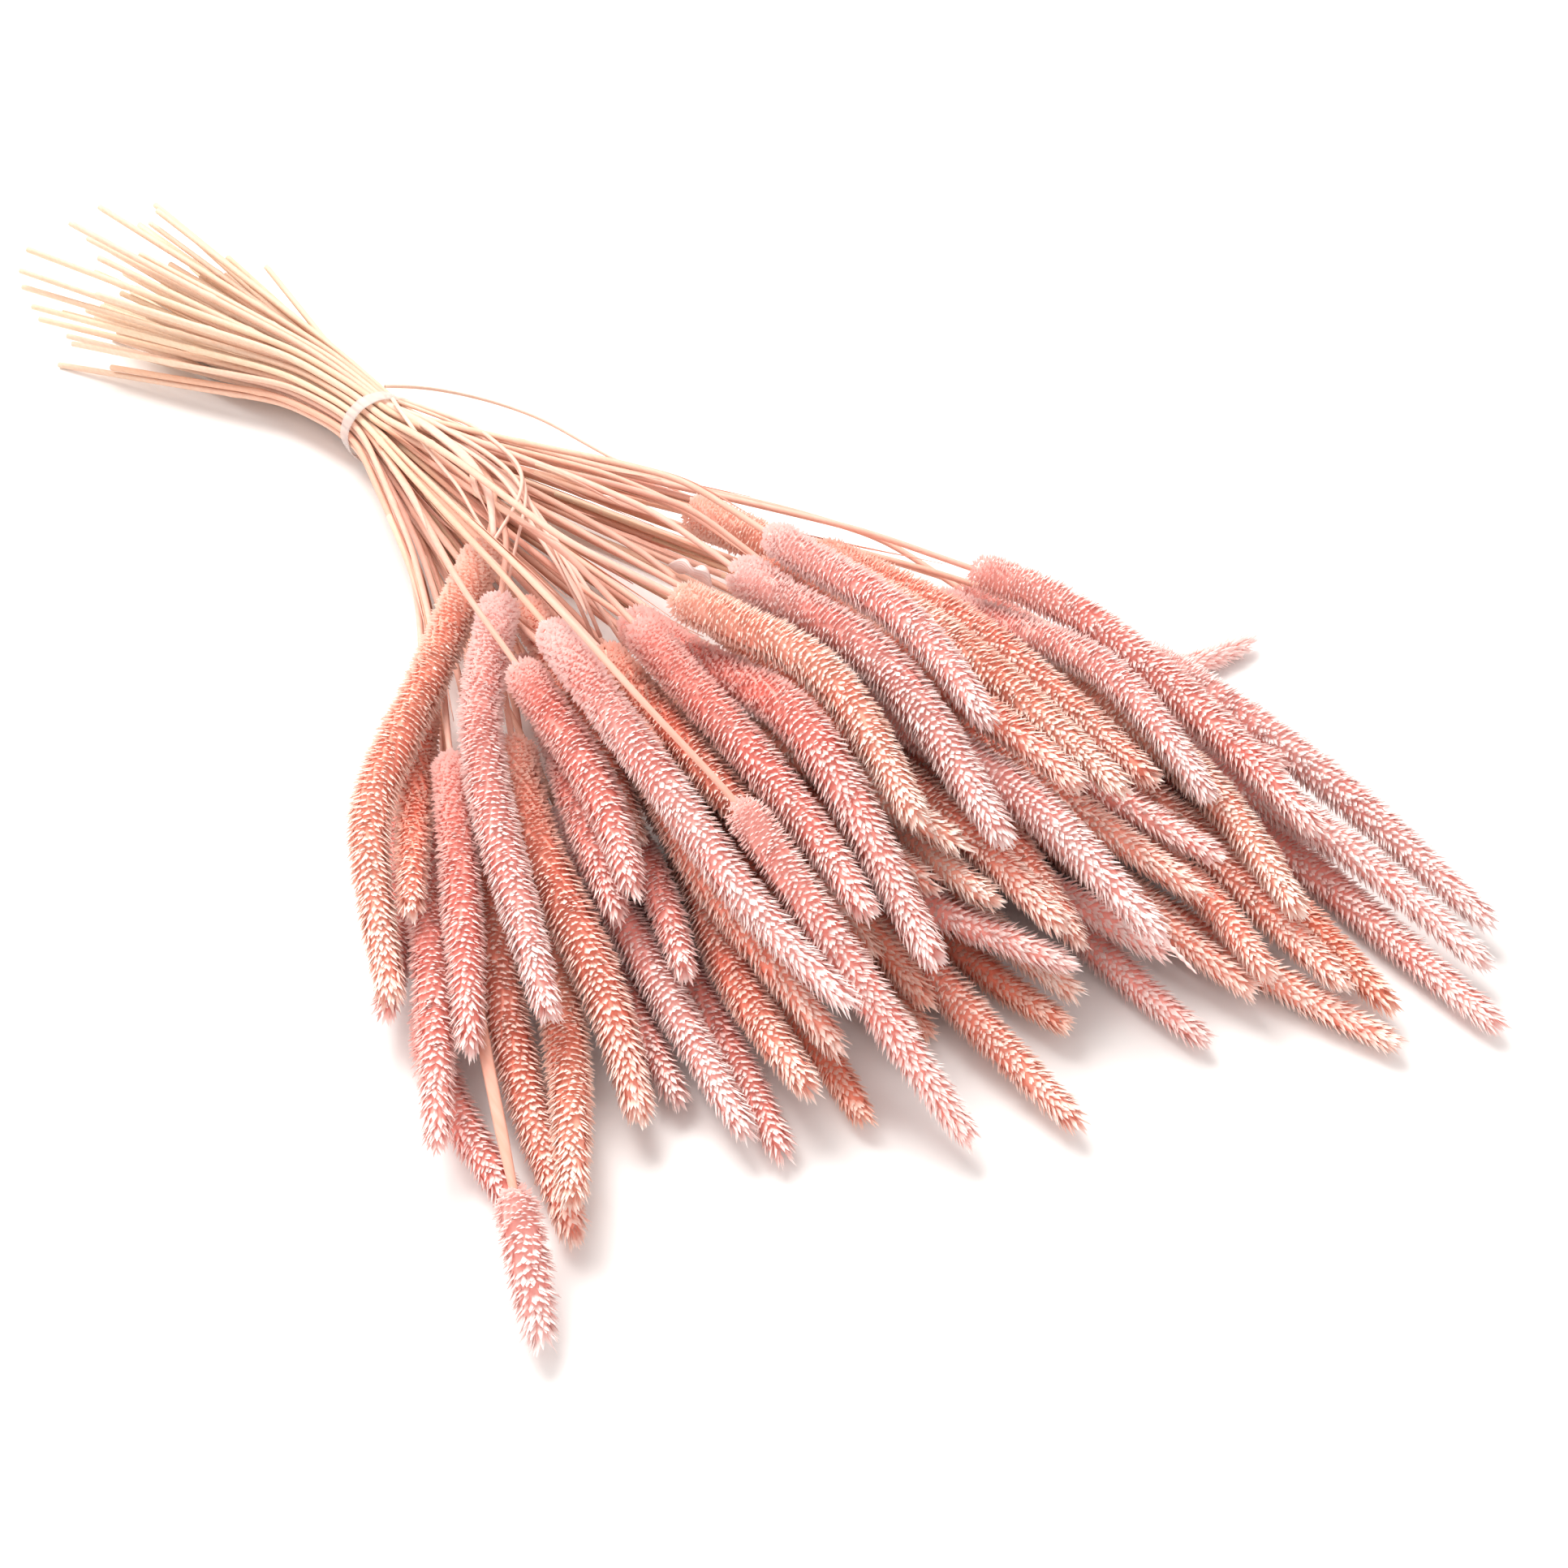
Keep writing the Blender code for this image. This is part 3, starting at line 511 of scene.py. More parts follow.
def piece(name, surface, material, slot, *nodes):
    """The finished piece, riding on the bunch's one body in place of its nodes."""
    thing = bpy.data.objects.new(name, surface.mesh(name))
    thing.data.materials.append(material)
    bpy.context.scene.collection.objects.link(thing)
    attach(thing, "root")
    if nodes:
        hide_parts(*nodes)


def grid_faces(rows, columns):
    """Quads of a grid of points, its rows closed round, and each corner's (row, column) share."""
    r, c = np.meshgrid(np.arange(rows - 1), np.arange(columns), indexing="ij")
    r, c = r.ravel(), c.ravel()

    def corner(i, j):
        return i * columns + j % columns

    faces = np.stack([corner(r, c), corner(r, c + 1), corner(r + 1, c + 1), corner(r + 1, c)], axis=1)
    u = np.stack([c, c + 1, c + 1, c], axis=1) / columns
    v = np.stack([r, r, r + 1, r + 1], axis=1) / (rows - 1)
    return faces, np.stack([v, u], axis=2)


def rings(run, sides):
    """A ring's length along a path and the even angles round it, as arrays with a row for each ring."""
    return np.meshgrid(run, np.arange(sides) * 2 * math.pi / sides, indexing="ij")


# The stems


def hollow_tube(surface, path, radii, flat, **attributes):
    """A tube along the path, closed at its far end and hollow for a short way in from its cut end.

    Ring k stands at a length along the path, with points radius * (cos, sin) of even angles. The
    first rings go from the bottom of the hollow out over the rim and then along the outside. flat
    presses a ring into a ribbon: wider sideways and thinner upwards by that share.
    """
    run = np.linspace(0, path.length, len(radii))
    run = np.concatenate([[HOLLOW_DEPTH, HOLLOW_DEPTH, 0.0], run, [path.length]])
    hollow = radii[0] * HOLLOW_SHARE
    size = np.concatenate([[radii[0] * 0.05, hollow, hollow], radii, [radii[-1] * 0.05]])
    flat = np.concatenate([[0, 0, 0], flat, [0]])[:, None]
    run, angle = rings(run, STEM_SIDES)
    wide, thin = np.cos(angle) * (1 + flat), np.sin(angle) * (1 - flat * 0.9)
    points = path.around(run, np.arctan2(thin, wide), size[:, None] * np.hypot(wide, thin))
    # inside marks the hollow's rings, which the straw's hollow colour paints dark as painted shade.
    inside = np.zeros(run.shape)
    inside[:3] = 1.0
    along = np.clip(run / path.length, 0, 1)
    surface.add_tube(points, *STEM_BOX, STEM_BOX[0], along=along, inside=inside, **attributes)


def stem_radii(count, radius, neck, draw, length):
    """The stem's radius along its length: narrowing to the neck, with small swellings at its joints."""
    share = np.linspace(0, 1, count)
    radii = radius + (neck - radius) * np.clip((share - 0.35) / 0.65, 0, 1) ** 1.3
    for joint in (draw.uniform(0.12, 0.26), draw.uniform(0.5, 0.68)):
        radii = radii * (1 + 0.25 * np.exp(-(((share - joint) * length / (1.6 * MM)) ** 2)))
    return radii


def ribbon(surface, centres, across, out, widths, curls, **attributes):
    """A thin closed strip of leaf along its centres.

    At each centre the strip is an arc of radius curl over the width: centre + curl sin(a) across +
    curl (cos(a) - 1) out, with a from -width / 2 curl to width / 2 curl. A second layer under the
    first gives it its thickness.
    """
    v = np.linspace(-1, 1, LEAF_COLUMNS)
    angle = v[None, :] * (widths / 2 / curls)[:, None]
    layers = []
    for lift in (LEAF_THICKNESS / 2, -LEAF_THICKNESS / 2):
        curl = curls[:, None] + lift * (1 - 0.8 * v[None, :] ** 4)
        side = (curl * np.sin(angle))[:, :, None] * across[:, None]
        rise = (curl * np.cos(angle) - curls[:, None])[:, :, None] * out[:, None]
        layers.append(centres[:, None] + side + rise)
    points = np.concatenate([layers[0], layers[1][:, ::-1]], axis=1)
    along = np.linspace(0, 1, len(centres))[:, None]
    surface.add_tube(points, *LEAF_BOX, LEAF_BOX[0], along=along, **attributes)


def leaf_strip(surface, path, radius, draw):
    """A dried leaf that leaves its stem at a joint: rolled round it first, then opening and lifting."""
    length = draw.uniform(38, 85) * MM
    start = draw.uniform(0.36, 0.75) * path.length
    end = min(start + length, path.length * 0.97)
    rows = max(8, round((end - start) / (3.0 * MM)))
    share = np.linspace(0, 1, rows)
    run = start + (end - start) * share
    turn = draw.uniform(0, 2 * math.pi) + draw.uniform(-1.4, 1.4) * share
    lift = radius + 0.12 * MM + draw.uniform(0.2, 3.0) * MM * share**2
    point, _, side, up = path.at(run)
    out = np.cos(turn)[:, None] * side + np.sin(turn)[:, None] * up
    across = -np.sin(turn)[:, None] * side + np.cos(turn)[:, None] * up
    widths = draw.uniform(1.2, 2.8) * MM * np.clip((1 - share) * 1.5, 0.06, 1) ** 0.8
    curls = radius + 0.15 * MM + draw.uniform(0.4, 3.0) * MM * share
    hue, shade = draw.uniform(0.4, 1.2), draw.uniform(0, 0.7)
    ribbon(surface, point + out * lift[:, None], across, out, widths, curls, hue=hue, shade=shade)


def stem_piece(number, line, settings, material, node):
    """One straw: a hollow tube along the stem's line, and a flat ribbon near the head of one of them."""
    draw = np.random.default_rng(STEM_SEED + number)
    path = Path(line)
    radius = settings.stem_width / 2 * draw.uniform(0.84, 1.0)
    neck = settings.neck_width / 2 * draw.uniform(0.9, 1.1)
    surface = Surface("along", "inside", "hue", "shade")
    radii = stem_radii(len(line), radius, neck, draw, path.length)
    flat = np.zeros(len(line))
    hue, shade = draw.uniform(0, 1), draw.uniform(0, 0.8)
    if number == RIBBON_STEM:
        share = np.linspace(0, 1, len(line))
        flat = np.interp(share, [0, 0.74, 0.84, 0.96, 1], [0, 0, 0.75, 0.55, 0])
        hue, shade = RIBBON_HUE, 0.0
    hollow_tube(surface, path, radii, flat, hue=hue, shade=shade)
    piece(f"stem_{number:02d}", surface, material, "straw", node)


def under_pixel(column, row, height):
    """The point at a height that the photograph shows at a pixel: the camera's ray carried on to it."""
    turn, foot = ground_frame()
    c, s = math.cos(CAMERA_PITCH), math.sin(CAMERA_PITCH)
    x = (column - PHOTO_SIDE / 2) / FOCAL_PIXELS
    y = (PHOTO_SIDE / 2 - row) / FOCAL_PIXELS
    way = np.array([x, c + y * s, y * c - s])
    place = np.array([*CAMERA_FROM_TIE, CAMERA_HEIGHT])
    return turn @ (place + way * (height - CAMERA_HEIGHT) / way[2]) + foot


def loose_straw(surface, girth, flat, hue, places):
    """A thin dried straw or leaf in a smooth curve through its places, narrowing towards its end."""
    line = np.array([under_pixel(column, row, height * MM) for column, row, height in places])
    path = Path(even_line(even_line(line, LINE_STEP, 12), LINE_STEP, 8))
    share = np.linspace(0, 1, len(path.line))
    radii = girth / 2 * MM * (1 - 0.35 * share)
    hollow_tube(surface, path, radii, flat * np.sin(math.pi * share), hue=hue, shade=STRAW_SHADE)


# The heads


def head_profile(share, length):
    """The head's width along it, as a share of the full one: a round root, even, then a narrowing tip."""
    root = np.clip(share * length / (4.0 * MM), 0, 1)
    tip = 1 - 0.42 * np.clip((share - 0.45) / 0.55, 0, 1) ** 2
    close = np.sqrt(np.clip((1.0 - share) * length / (3.0 * MM), 0, 1))
    return (0.3 + 0.7 * np.sqrt(root * (2 - root))) * tip * (0.3 + 0.7 * close)


def head_core(surface, path, length, radius, draw):
    """The dense inside of the head that the spikelets grow from: rings with gentle swells."""
    rows = max(8, round(length / (2.6 * MM)))
    share = np.linspace(0, 1, rows)
    size = radius * CORE_SHARE * head_profile(share, length)
    size[0], size[-1] = size[0] * 0.6, size[-1] * 0.2
    run, angle = rings(share * length, CORE_SIDES)
    swell = 1 + 0.04 * draw.standard_normal(run.shape)
    points = path.around(run, angle, size[:, None] * swell)
    # The core's low tone paints it in the deep colour: partly the dye's deeper base, partly painted shade
    # between the blades.
    tone = 0.22 + 0.22 * np.clip(1 - share * 4, 0, 1)[:, None]
    surface.add_tube(points, (0.0, 0.97), (0.05, 1.0), (0.02, 0.98), tone=tone, tint=0.5)


def blade_places(path, length, radius, settings, draw):
    """Each blade's share of the head's length and its angle, in wavy rows that wind round the head.

    The rows are one screw line. Its pitch p(s) is narrow at the root and wide at the tip, and blade i
    of n to a turn stands where the integral of ds / p reaches i / n, moved by a slow wave along.
    """
    fine = np.linspace(0, 1, 600)
    pitch = settings.row_pitch * np.interp(fine, [0, 0.12, 0.35, 1], [0.6, 0.78, 1.0, 1.15])
    turns = np.concatenate([[0], np.cumsum(length / 599 / pitch[1:])])
    round_it = round(2 * math.pi * 0.85 * radius / settings.blade_spacing) + 0.5
    number = np.arange(int(turns[-1] * round_it))
    share = np.interp(number / round_it, turns, fine)
    turn = 2 * math.pi * number / round_it + draw.normal(0, 0.04, len(number))
    knots = np.linspace(0, 1, 12)
    waves = [
        height * MM * np.sin(count * turn + np.interp(share, knots, draw.uniform(0, 8, 12)))
        for height, count in ((0.45, 2), (0.35, 5), (0.15, 9))
    ]
    moved = share + (sum(waves) + draw.normal(0, 0.06 * MM, len(number))) / length
    keep = draw.uniform(0, 1, len(number)) < np.clip(head_profile(share, length) * 1.2, 0.25, 1)
    return np.clip(moved, 0, 1)[keep], turn[keep], np.where(number % 2, 1.0, -1.0)[keep]


def head_blades(surface, path, length, radius, settings, plush, draw):
    """The head's keeled blades, in pairs that spread like a fork.

    Each blade is a keeled kite: a foot near the core, two edge points half way up and set back from
    the keel, and a tip. It leans from the radius towards the head's tip, by an angle that grows from
    the root to the tip. The kites of a row overlap into a toothed frill. plush is how far up the head
    the blades stay short and evenly pale, as on its root.
    """
    share, turn, fork = blade_places(path, length, radius, settings, draw)
    total = len(share)
    width = head_profile(share, length)
    size = radius * width
    lean = np.interp(share, [0, 0.03, 0.12, 0.4, 0.8, 0.96, 1], [-30, 5, 28, 44, 54, 66, 80])
    lean = np.radians(lean) + draw.normal(0, 0.08, total)
    reach = np.interp(share, [0, 0.1, 0.2 + 0.15 * plush, 0.8, 1], [0.5, 0.6, 0.9, 1.05, 1.2])
    long = settings.blade_length * reach
    foot = np.maximum(size * 1.02 - long * np.cos(lean), size * 0.4)
    long = long * draw.uniform(0.8, 1.15, total)
    half = settings.blade_width / 2 * np.interp(width, [0.3, 1], [0.7, 1]) * draw.uniform(0.85, 1.1, total)
    splay = fork * draw.uniform(0.04, 0.2, total) + draw.normal(0, 0.07, total)
    point, ahead, side, up = path.at(share * length)
    out = np.cos(turn)[:, None] * side + np.sin(turn)[:, None] * up
    across = -np.sin(turn)[:, None] * side + np.cos(turn)[:, None] * up
    way = np.cos(lean)[:, None] * out + np.sin(lean)[:, None] * ahead + across * splay[:, None]
    way /= np.linalg.norm(way, axis=1)[:, None]
    keel_way = np.cos(lean)[:, None] * -ahead + np.sin(lean)[:, None] * out
    base = point + out * foot[:, None]
    shoulder = base + way * (long * 0.56)[:, None] - keel_way * (half * 0.5)[:, None]
    edge = across * half[:, None]
    points = np.stack([shoulder - edge, shoulder + edge, base, base + way * long[:, None]], axis=1)
    contrast = np.interp(share, [0, 0.15, 0.3 + 0.25 * plush, 1], [0.3, 0.4, 0.9, 1.05])
    middle = np.interp(share, [0, 0.3, 1], [0.68, 0.64, 0.66])[:, None]
    # Each blade's foot takes tone 0.2, the deep colour: partly the dye's deeper base, partly painted shade
    # near the core. Its tip is pale.
    tone = middle + (np.array([[0.68, 0.68, 0.2, 1.0]]) - middle) * contrast[:, None]
    add_blades(surface, points, tone, draw)


def add_blades(surface, points, tone, draw):
    """Closed blades of four triangles, each in a cell of the UV map, its foot and tip at opposite ends."""
    total = len(points)
    pattern = np.array([[0, 1, 2], [0, 3, 1], [1, 3, 2], [2, 3, 0]])
    edges = points[:, [1, 2, 3]] - points[:, :1]
    inside_out = np.einsum("ij,ij->i", np.cross(edges[:, 0], edges[:, 1]), edges[:, 2]) > 0
    order = np.repeat(pattern[None], total, axis=0)
    order[inside_out] = order[inside_out][:, :, ::-1]
    columns = math.ceil(math.sqrt(total / 3))
    cell = np.array([1.0 / columns, 0.96 / math.ceil(total / columns)])
    corner = np.stack([np.arange(total) % columns, np.arange(total) // columns], axis=1) * cell
    spots = np.array([[0.5, 0.12], [0.5, 0.88], [0.1, 0.5], [0.9, 0.5]])
    corners = corner[:, None, None] + spots[order] * cell
    faces = order + (np.arange(total) * 4)[:, None, None]
    surface.add(
        points.reshape(-1, 3), faces.reshape(-1, 3), corners.reshape(-1, 3, 2), smooth=False,
        tone=tone.ravel(), tint=np.repeat(draw.uniform(0, 1, total), 4),
    )


def bare_axis(surface, path, length):
    """The head's own thin axis past its tip: a narrowing rod with a bead where each spikelet fell off."""
    share = np.linspace(0, 1, BARE_ROWS)
    beads = 1 + 0.3 * np.sin(share * 40)
    size = (0.55 - 0.3 * share) * MM * beads * np.minimum(1, (1 - share) * 12 + 0.15)
    run = length - BARE_ROOT + share * (BARE_LENGTH + BARE_ROOT)
    points = path.around(*rings(run, BARE_SIDES), size[:, None])
    surface.add_tube(points, (0.06, 0.97), (0.1, 1.0), (0.07, 0.98), tone=0.45, tint=0.5)


def head_piece(number, line, radius, settings, material, dye, node):
    """One head: its core, its blades, and past its tip the bare axis of one of them."""
    draw = np.random.default_rng(number)
    path = Path(line)
    length = path.length - TUFT
    surface = Surface("tone", "tint")
    head_core(surface, path, length, radius, draw)
    plush = PLUSH_REACH if number == PLUSH_HEAD else draw.uniform(0, 1)
    head_blades(surface, path, length, radius, settings, plush, draw)
    if number == BARE_TIP:
        bare_axis(surface, path, length)
    piece(f"head_{number:02d}", surface, material, dye, node)


# The tie and the loose dried leaves


def tie_band(surface, stems):
    """The band drawn tight round the stems: the outline of all the stems together, and a thin wall.

    For each angle the outline's radius is how far the stems reach that way, from the bunch's middle.
    It is eased out to a smooth curve, and a rounded flat profile is carried round that.
    """
    low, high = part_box("tie")
    middle, half = (low[0] + high[0]) / 2, (high[0] - low[0]) / 2
    angle = np.arange(BAND_ROWS) * 2 * math.pi / BAND_ROWS
    out = np.stack([np.zeros(BAND_ROWS), np.cos(angle), np.sin(angle)], axis=1)
    places = np.array([line[np.abs(line[:, 0] - middle).argmin()] for line in stems])
    centre = np.array([middle, *((places.min(axis=0) + places.max(axis=0)) / 2)[1:]])
    reach = (out @ (places - centre).T).max(axis=1) + TIE_STEM_RADIUS
    for _ in range(40):
        reach = np.maximum(reach, (np.roll(reach, 3) + np.roll(reach, -3)) / 2)
    turn = np.arange(BAND_SIDES) * 2 * math.pi / BAND_SIDES
    along = np.sign(np.cos(turn)) * np.abs(np.cos(turn)) ** 0.35 * half
    lift = BAND_HALF_WALL + BAND_HALF_WALL * np.sin(turn)
    crease = BAND_CREASE * np.sin(angle[:, None] * 9 + along * 900)
    size = reach[:, None] + lift + crease
    points = centre + out[:, None] * size[:, :, None] + along[None, :, None] * np.array([1.0, 0, 0])
    tie_grid(surface, points)


def tie_grid(surface, points):
    """Adds a grid that is closed both ways."""
    rows, columns = points.shape[:2]
    faces, corners = grid_faces(rows + 1, columns)
    surface.add(points.reshape(-1, 3), faces % (rows * columns), corners)


def leaf_line(name):
    """The middle line of a leaf's node: a parabola through the means of its points in four bands.

    The bands lie along the node's longest direction.
    """
    points, _ = merged_mesh(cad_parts[name])
    middle = points.mean(axis=0)
    long = np.linalg.svd(points - middle, full_matrices=False)[2][0]
    along = (points - middle) @ (long * np.sign(long[0]))
    edges = np.linspace(along.min(), along.max(), 5)
    bands = np.clip(np.digitize(along, edges[1:-1]), 0, 3)
    means = np.stack([points[bands == k].mean(axis=0) for k in range(4)])
    at = np.array([along[bands == k].mean() for k in range(4)])
    want = np.linspace(along.min() - LEAF_END, along.max() + LEAF_END, LEAF_ROWS)
    fit = [np.polyval(np.polyfit(at, means[:, k], 2), want) for k in range(3)]
    return np.stack(fit, axis=1)


def dried_leaf(name, width, curl, twist, crumple, seed):
    """A loose leaf along its node's middle line, curled, twisted along its length and crumpled."""
    draw = np.random.default_rng(seed)
    line = leaf_line(name)
    _, side, up = frames_along(line)
    share = np.linspace(0, 1, LEAF_ROWS)
    turn = twist[0] + (twist[1] - twist[0]) * share + crumple * np.sin(share * 9 + draw.uniform(0, 6))
    across = -np.cos(turn)[:, None] * side - np.sin(turn)[:, None] * up
    out = -np.sin(turn)[:, None] * side + np.cos(turn)[:, None] * up
    widths = width * (0.05 + 0.95 * np.sin(math.pi * np.clip(share, 0.01, 0.99)) ** 0.8)
    curls = curl * (1 + 0.4 * np.sin(share * 7 + draw.uniform(0, 6)))
    surface = Surface("along", "inside", "hue", "shade")
    ribbon(surface, line, across, out, widths, curls, hue=0.9, shade=1.0, inside=0.0)
    return surface


# Finishes


def head_material(name, finish):
    """Dyed spikelets: deeper dye with painted shade in the gaps, salmon along the blade and pale at its
    tip.
    """
    shader = Shader(name)
    tone, tint = shader.attribute("tone"), shader.attribute("tint")
    drift = shader.noise(shader.place(), 70.0, 2.0)
    grain = shader.noise(shader.place(), 1500.0, 1.0)
    share = tone + (tint - 0.5) * 0.2 + (drift - 0.5) * 0.28 + (grain - 0.5) * 0.12
    # Low tone gives the deep colour at the blades' feet and on the core: partly the dye's deeper base,
    # partly painted shade between the blades.
    colour = shader.ramp(share, (
        (0.0, finish.deep), (0.28, finish.body), (0.6, finish.pale), (1.0, finish.tip),
    ))
    shader.set("Base Color", colour)
    shader.set("Roughness", 0.85)
    shader.set("Specular IOR Level", 0.1)
    return shader.material


def band_material(finish):
    """Thin whitish plastic, a little cloudy, with faint creases round the band."""
    shader = Shader("tie_plastic")
    creases = shader.noise(shader.stretched(shader.place(), (1800.0, 120.0, 120.0)), 1.0, 2.0)
    shader.set("Base Color", shader.mix(creases, finish.clear, finish.cloudy))
    shader.set("Roughness", 0.32 + creases * 0.15)
    shader.set("Alpha", 0.45)
    shader.set("Normal", shader.bump(creases, 0.4, 0.0002))
    return shader.material


def leaf_material(finish):
    """Papery bleached leaf: fine veins along it, pinker in blotches."""
    shader = Shader("dried_leaf")
    veins = shader.node("ShaderNodeTexWave", {"bands_direction": "Y"}, {
        "Vector": shader.node("ShaderNodeUVMap", {"uv_map": "OFBake"}), "Scale": 9.0, "Distortion": 0.6,
    }, output="Fac")
    blotches = shader.noise(shader.place(), 160.0, 2.0)
    colour = shader.mix(blotches, finish.paper, finish.flushed)
    shader.set("Base Color", shader.mix(veins * 0.35, colour, finish.vein, "MULTIPLY"))
    shader.set("Roughness", 0.55 + blotches * 0.2)
    shader.set("Normal", shader.bump(veins, 0.4, 0.0002))
    return shader.material


def straw_material(finish):
    """Dried stem: straw at the cut end, dyed pinkish towards the head, with fine lengthwise streaks, and
    painted shade inside the cut end's hollow.
    """
    shader = Shader("dried_straw")
    along, hue = shader.attribute("along"), shader.attribute("hue")
    shade, inside = shader.attribute("shade"), shader.attribute("inside")
    streaks = shader.noise(shader.stretched(shader.place(), (90.0, 1400.0, 1400.0)), 1.0, 3.0)
    blotches = shader.noise(shader.place(), 34.0, 2.0)
    dyed = shader.ramp(along + (hue - 0.5) * 0.5 + (blotches - 0.5) * 0.35, (
        (0.15, finish.cut_end), (0.5, finish.middle), (0.85, finish.dyed_end),
    ))
    paler = shader.mix(shade * 0.55, dyed, finish.pale)
    streaked = shader.mix(streaks * 0.5, paler, finish.streak, "MULTIPLY")
    # The hollow colour darkens the cut end's hollow rings: painted shade inside the stem.
    shader.set("Base Color", shader.mix(inside * 0.8, streaked, finish.hollow))
    shader.set("Roughness", 0.5 + streaks * 0.2)
    shader.set("Specular IOR Level", 0.25)
    shader.set("Normal", shader.bump(streaks, 0.35, 0.0002))
    return shader.material


# Settings


def colour_property(name, description, default):
    return FloatVectorProperty(
        name=name, description=description, default=default, size=3, subtype="COLOR", min=0, max=1
    )


def length_property(name, description, default):
    return FloatProperty(
        name=name, description=description, default=default, min=0, unit="LENGTH", precision=5
    )


def power_property(name, description, default):
    return FloatProperty(name=name, description=description, default=default, min=0)


class GRASS_PG_head_sizes(bpy.types.PropertyGroup):
    blade_length: length_property("Blade length", "Length of one spikelet blade", 3.6 * MM)
    blade_width: length_property("Blade width", "Width of one spikelet blade", 1.2 * MM)
    blade_spacing: length_property("Blade spacing", "Distance of blades within a row", 0.92 * MM)
    row_pitch: length_property("Row pitch", "Distance of the rows of blades", 1.35 * MM)


class GRASS_PG_stem_sizes(bpy.types.PropertyGroup):
    stem_width: length_property("Stem width", "Width of a stem at its cut end", 1.96 * MM)
    neck_width: length_property("Neck width", "Width of a stem just below its head", 1.45 * MM)
    leafy_share: FloatProperty(
        name="Leafy share", description="Share of the stems' joints that keep a dried leaf", default=0.75,
        min=0, max=1, subtype="FACTOR",
    )


def dye_group(label, deep, body, pale, tip):
    """A property group class with one dye's four colours; its deep colour is partly painted shade between
    the blades.
    """
    fields = {
        "deep": colour_property("Deep", "Colour deep between the blades", deep),
        "body": colour_property("Body", "Colour of the blades' lower half", body),
        "pale": colour_property("Pale", "Colour of the blades' upper half", pale),
        "tip": colour_property("Tip", "Colour of the blades' tips", tip),
    }
    return type(f"GRASS_PG_{label}", (bpy.types.PropertyGroup,), {"__annotations__": fields})


# The deep colours hold the dye's deeper base and painted shade in the gaps between the blades.
DYE_GROUPS = {
    "rose": dye_group("rose", (1.0, 0.19, 0.14), (1.0, 0.49, 0.43), (1.0, 0.69, 0.65), (1.0, 0.87, 0.84)),
    "blush": dye_group("blush", (1.0, 0.25, 0.2), (1.0, 0.57, 0.52), (1.0, 0.76, 0.73), (1.0, 0.91, 0.89)),
    "salmon": dye_group("salmon", (1.0, 0.18, 0.1), (1.0, 0.47, 0.37), (1.0, 0.67, 0.58), (1.0, 0.86, 0.8)),
    "peach": dye_group("peach", (1.0, 0.23, 0.14), (1.0, 0.53, 0.42), (1.0, 0.73, 0.64), (1.0, 0.9, 0.84)),
    "tan": dye_group("tan", (0.85, 0.14, 0.07), (0.95, 0.39, 0.28), (0.98, 0.58, 0.47), (1.0, 0.8, 0.71)),
}


class GRASS_PG_straw(bpy.types.PropertyGroup):
    cut_end: colour_property("Cut end", "Undyed straw at the cut end", (0.78, 0.65, 0.49))
    middle: colour_property("Middle", "Straw near the tie", (0.78, 0.5, 0.37))
    dyed_end: colour_property("Dyed end", "Straw that took up dye near the head", (0.82, 0.47, 0.38))
    pale: colour_property("Pale", "Bleached straw", (0.88, 0.68, 0.61))
    streak: colour_property("Streak", "Tint of the lengthwise streaks", (0.86, 0.5, 0.32))
    # The hollow colour is painted shade inside the cut end.
    hollow: colour_property("Hollow", "Inside of the cut end", (0.3, 0.15, 0.07))


class GRASS_PG_trimmings(bpy.types.PropertyGroup):
    clear: colour_property("Tie", "Colour of the tie", (0.78, 0.68, 0.64))
    cloudy: colour_property("Tie creases", "Colour of the tie's cloudy creases", (0.7, 0.64, 0.62))
    paper: colour_property("Leaf", "Colour of the bleached leaves", (0.97, 0.9, 0.88))
    flushed: colour_property("Leaf blotches", "Dyed places on the leaves", (0.94, 0.74, 0.71))
    vein: colour_property("Leaf veins", "Tint of the leaves' veins", (0.86, 0.74, 0.7))


class GRASS_PG_stage(bpy.types.PropertyGroup):
    floor: colour_property("Floor", "Colour of the floor", (0.93, 0.925, 0.92))
    key_power: power_property("Key light", "Power of the soft light behind", 19.0)
    fill_power: power_property("Fill light", "Power of the soft light at the left", 3.0)
    sky: power_property("Sky", "Strength of the light from all round", 0.82)


# Operators


@lru_cache
def all_stalks():
    """Each stalk's number, its node's name, its stem's and head's lines and its head's radius."""
    found = []
    for name in sorted(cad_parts):
        if not name.startswith("stalk"):
            continue
        lines = stalk_lines(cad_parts[name])
        numbers = [int(part) for part in name.split("_")[1:]]
        if len(lines) != len(numbers):
            raise ValueError(f"{name} holds {len(lines)} stalks")
        for number, (line, radii) in zip(numbers, lines):
            found.append((number, name, *stem_and_head(line, radii)))
    return found


class GRASS_OT_stalks(bpy.types.Operator):
    """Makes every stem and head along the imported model's stalks"""

    bl_idname = "grass.stalks"
    bl_label = "Stems and heads"

    def execute(self, context):
        scene = context.scene
        straw = straw_material(scene.grass_straw)
        dyes = {name: head_material(f"dyed_{name}", getattr(scene, f"grass_{name}")) for name in DYE_GROUPS}
        for number, node, stem, head, radius in all_stalks():
            dye = DYES[number - 1]
            stem_piece(number, stem, scene.grass_stem_sizes, straw, node)
            head_piece(number, head, radius, scene.grass_head_sizes, dyes[dye], dye, node)
        return {"FINISHED"}


